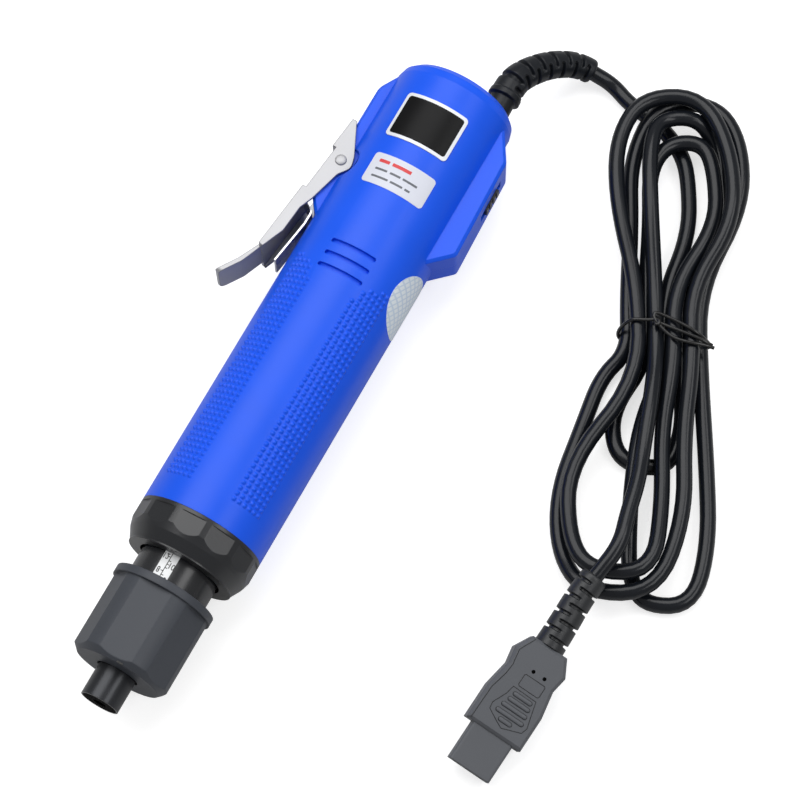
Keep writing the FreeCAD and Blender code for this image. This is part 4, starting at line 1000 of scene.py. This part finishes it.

# %% [markdown]
# ## Face of the plug
# The face of the plug has raised finger bars inside a shield outline, an empty frame, two small holes
# and a line along its edge. Bars are low capsules, the lines are thin cords half sunk in the face, and
# the holes are black discs of painted shade.

# %% Bars
bar_rows = ((17.5, -0.8, 2.2), (19.5, -1.1, 4.7), (21.8, -1.2, 4.3), (24.0, -1.4, 3.7), (26.0, -1.4, 3.2))
bar_r = 0.6
bar_tall = 0.4
bar_sides = 24
sunk = -0.2


def stadium(run, radius, count):
    """Outline across the plug of two half circles, each a run away from the middle."""
    turns = [2 * math.pi * (i + 0.5) / count for i in range(count)]
    return [(radius * math.cos(a), math.copysign(run, math.sin(a)) + radius * math.sin(a)) for a in turns]


def ring_faces(rings, count):
    """Faces between rings of points that follow each other."""
    faces = []
    for first in range(0, (rings - 1) * count, count):
        for i in range(count):
            j = (i + 1) % count
            faces.append((first + i, first + j, first + count + j, first + count + i))
    return faces


def capped(rings):
    """Points and faces of a closed shape from rings of points, each as long as the next."""
    count = len(rings[0])
    ends = [tuple(range(count)), tuple(range((len(rings) - 1) * count, len(rings) * count))]
    return [place for ring in rings for place in ring], ring_faces(len(rings), count) + ends


def capsule_bar(along, side, half):
    """Low rounded bar across the plug's face."""
    rings = []
    for inset, height in ((0.0, sunk), (0.0, bar_tall * 0.55), (0.12, bar_tall * 0.85), (0.3, bar_tall)):
        outline = stadium(half - bar_r, bar_r - inset, bar_sides)
        rings.append([in_plug(along + a, side + b, plug_face_t + height) for a, b in outline])
    return capped(rings)


bar_points, bar_faces = joined([capsule_bar(*row) for row in bar_rows])
bars = mesh_piece("plug_bars", bar_points, bar_faces, plug_plastic, "housing")

# %% Lines and holes
line_d = 0.26
groove = 0.06
groove_sides = 20
hole_along = 34.4
hole_r = 0.6
hole_sides = 16


def plug_lines(name, corners, closed=True):
    """Thin line on the plug's face through corner places."""
    places = [in_plug(along, side, plug_face_t) for along, side in corners]
    made = curve_object(name, "POLY", places, line_d, plug_line, section=2)
    made.data.splines[0].use_cyclic_u = closed
    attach(made, "housing")
    return made


def hole(side):
    """Dark round spot on the plug's face, painted shade that stands in for a hole."""
    turns = [2 * math.pi * i / hole_sides for i in range(hole_sides)]
    outline = [(hole_along + hole_r * math.cos(a), side + hole_r * math.sin(a)) for a in turns]
    return capped([[in_plug(a, b, plug_face_t + height) for a, b in outline] for height in (sunk, 0.04)])


shield = plug_lines("plug_shield_line", [
    (27.6, 2.9), (24.7, 3.5), (20.4, 5.5), (18.4, 5.2), (16.5, 1.7), (15.3, -0.8), (17.4, -6.7), (19.4, -7.3),
    (27.4, -5.2)])
window = plug_lines("plug_frame_line", [
    (28.6, 1.6), (29.0, 2.0), (32.2, 2.0), (32.6, 1.6), (32.6, -4.8), (32.2, -5.2), (29.0, -5.2),
    (28.6, -4.8)])
for number, (along, side, half) in enumerate(bar_rows):
    outline = stadium(half - bar_r, bar_r + groove, groove_sides)
    plug_lines("plug_bar_line_%d" % number, [(along + a, side + b) for a, b in outline])
edge_line = plug_lines("plug_edge_line", [
    (plug_nose_l + 0.3, 8.4), (24.0, 8.2), (29.5, 6.9), (32.7, 6.6), (37.6, 7.4), (plug_back - 0.6, 5.0)],
    closed=False)
hole_points, hole_faces = joined([hole(side) for side in (-3.6, 0.3)])
holes = mesh_piece("plug_holes", hole_points, hole_faces, painted_hole_shade, "housing")

# %% [markdown]
# ## Rivet heads and the nut's mark
# The lever turns on a pin whose ends are rounded over. The heads are domes, spun from a short profile.
# The nut has a small dark mark at its front edge that is set against the scale.

# %% Rivet heads and mark
head_r = 1.8
head_tall = 0.65
head_sides = 32
head_profile = ((1.0, -0.25), (1.0, 0.25), (0.93, 0.6), (0.72, 0.87), (0.4, 0.98))
nut_corner_r = 14.1


def rivet_head(toward):
    """Low dome at one end of the lever's pin."""
    middle = Vector((pin_middle.x, pin_middle.y, toward * lever_side))
    turns = [2 * math.pi * i / head_sides for i in range(head_sides)]
    points = []
    for share, height in head_profile:
        radius = head_r * share
        level = toward * head_tall * height
        points += [middle + Vector((radius * math.cos(a), radius * math.sin(a), level)) for a in turns]
    points.append(middle + Vector((0, 0, toward * head_tall)))
    last = (len(head_profile) - 1) * head_sides
    cap = [(last + i, last + (i + 1) % head_sides, len(points) - 1) for i in range(head_sides)]
    return points, [tuple(range(head_sides))] + ring_faces(len(head_profile), head_sides) + cap


head_points, head_faces = joined([rivet_head(toward) for toward in (1, -1)])
mesh_piece("lever_rivets", head_points, head_faces, lever_steel, "housing")
rolled_plate("nut_mark", nut_front + 0.4, 0.4, math.radians(9.0), 1.0, 0.2, 0.14, black_ink,
             nut_corner_r, "torque_nut")

# %% [markdown]
# ## Copies of the springs
# A spring sits between two bodies, so its ends move differently. Its solid is copied, and the copy
# takes the solid's place, shaded smooth; it does not follow either body. This is done for the two
# coils and for the leaf under the lever.

# %% Springs


def giving_spring(name, solid, moving, still, start, end):
    """Copy of a spring's solid that takes its place; the moving and still bodies and the two ends are not
    used.
    """
    data = nodes[solid].data.copy()
    smooth_mesh(data, False)
    made = linked(bpy.data.objects.new(name, data))
    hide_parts(solid)
    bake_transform(made)
    print(name, "faces", len(data.polygons))


def along_axis(solid):
    """Front and back end of a spring on the spindle axis."""
    return Vector((high_corner[solid].x, 0, 0)), Vector((low_corner[solid].x, 0, 0))


giving_spring("sleeve_coil", "sleeve_spring", "bit_sleeve", "spindle", *along_axis("sleeve_spring"))
giving_spring("clutch_coil", "clutch_spring", "thrust_washer", "housing", *along_axis("clutch_spring"))
giving_spring("lever_leaf", "lever_spring", "start_lever", "housing",
              Vector((0, low_corner["lever_spring"].y, 0)), Vector((0, high_corner["lever_spring"].y, 0)))

# %% [markdown]
# ## Tip of the tail boot
# The place where the cord leaves the tail boot, in metres.

relief_tip * mm

# %% [markdown]
# ## Studio
# A white sheet and a pale surround light everything softly, as in a catalogue picture. A broad lamp
# draws the long highlight on the barrel, and a weaker one fills the shade.

# %% Floor, surround and lamps


def lamp(name, place, aim, wide, tall, power):
    """Oblong lamp aimed at a place."""
    data = bpy.data.lights.new(name, "AREA")
    data.shape = "RECTANGLE"
    data.size = wide
    data.size_y = tall
    data.energy = power
    made = linked(bpy.data.objects.new(name, data))
    made.location = place
    made.rotation_mode = "QUATERNION"
    made.rotation_quaternion = (Vector(aim) - Vector(place)).to_track_quat("-Z", "Y")
    return made


def pale_floor():
    """Wide sheet just under the tool, a little bright by itself to the camera, so that it stays white."""
    half = 3.0
    glow = 0.66
    level = (floor_z - 0.2) * mm
    corners = [(x * half, y * half, level) for x, y in ((-1, -1), (1, -1), (1, 1), (-1, 1))]
    data = bpy.data.meshes.new("floor")
    data.from_pydata(corners, [], [(0, 1, 2, 3)])
    material = bpy.data.materials.new("Pale floor")
    material.use_nodes = True
    seen = node(material.node_tree, "ShaderNodeLightPath", "Is Camera Ray")
    dress(material, {"Base Color": (0.60, 0.60, 0.60, 1.0), "Roughness": 0.9,
                     "Emission Color": (1.0, 1.0, 1.0, 1.0), "Emission Strength": seen * glow})
    data.materials.append(material)
    return linked(bpy.data.objects.new("floor", data))


floor = pale_floor()
world = bpy.data.worlds.new("Studio")
world.use_nodes = True
surround = world.node_tree.nodes["Background"].inputs
surround["Color"].default_value = (1.0, 1.0, 1.0, 1.0)
surround["Strength"].default_value = 0.38
bpy.context.scene.world = world
middle = Vector((-0.12, 0.03, 0.0))
lamp("Main lamp", (-0.40, -0.36, 1.0), middle, 1.4, 0.8, 11.0)
lamp("Fill lamp", (-0.40, 0.70, 0.9), middle, 1.0, 0.4, 4.0)
print("lamps", len(bpy.data.lights))
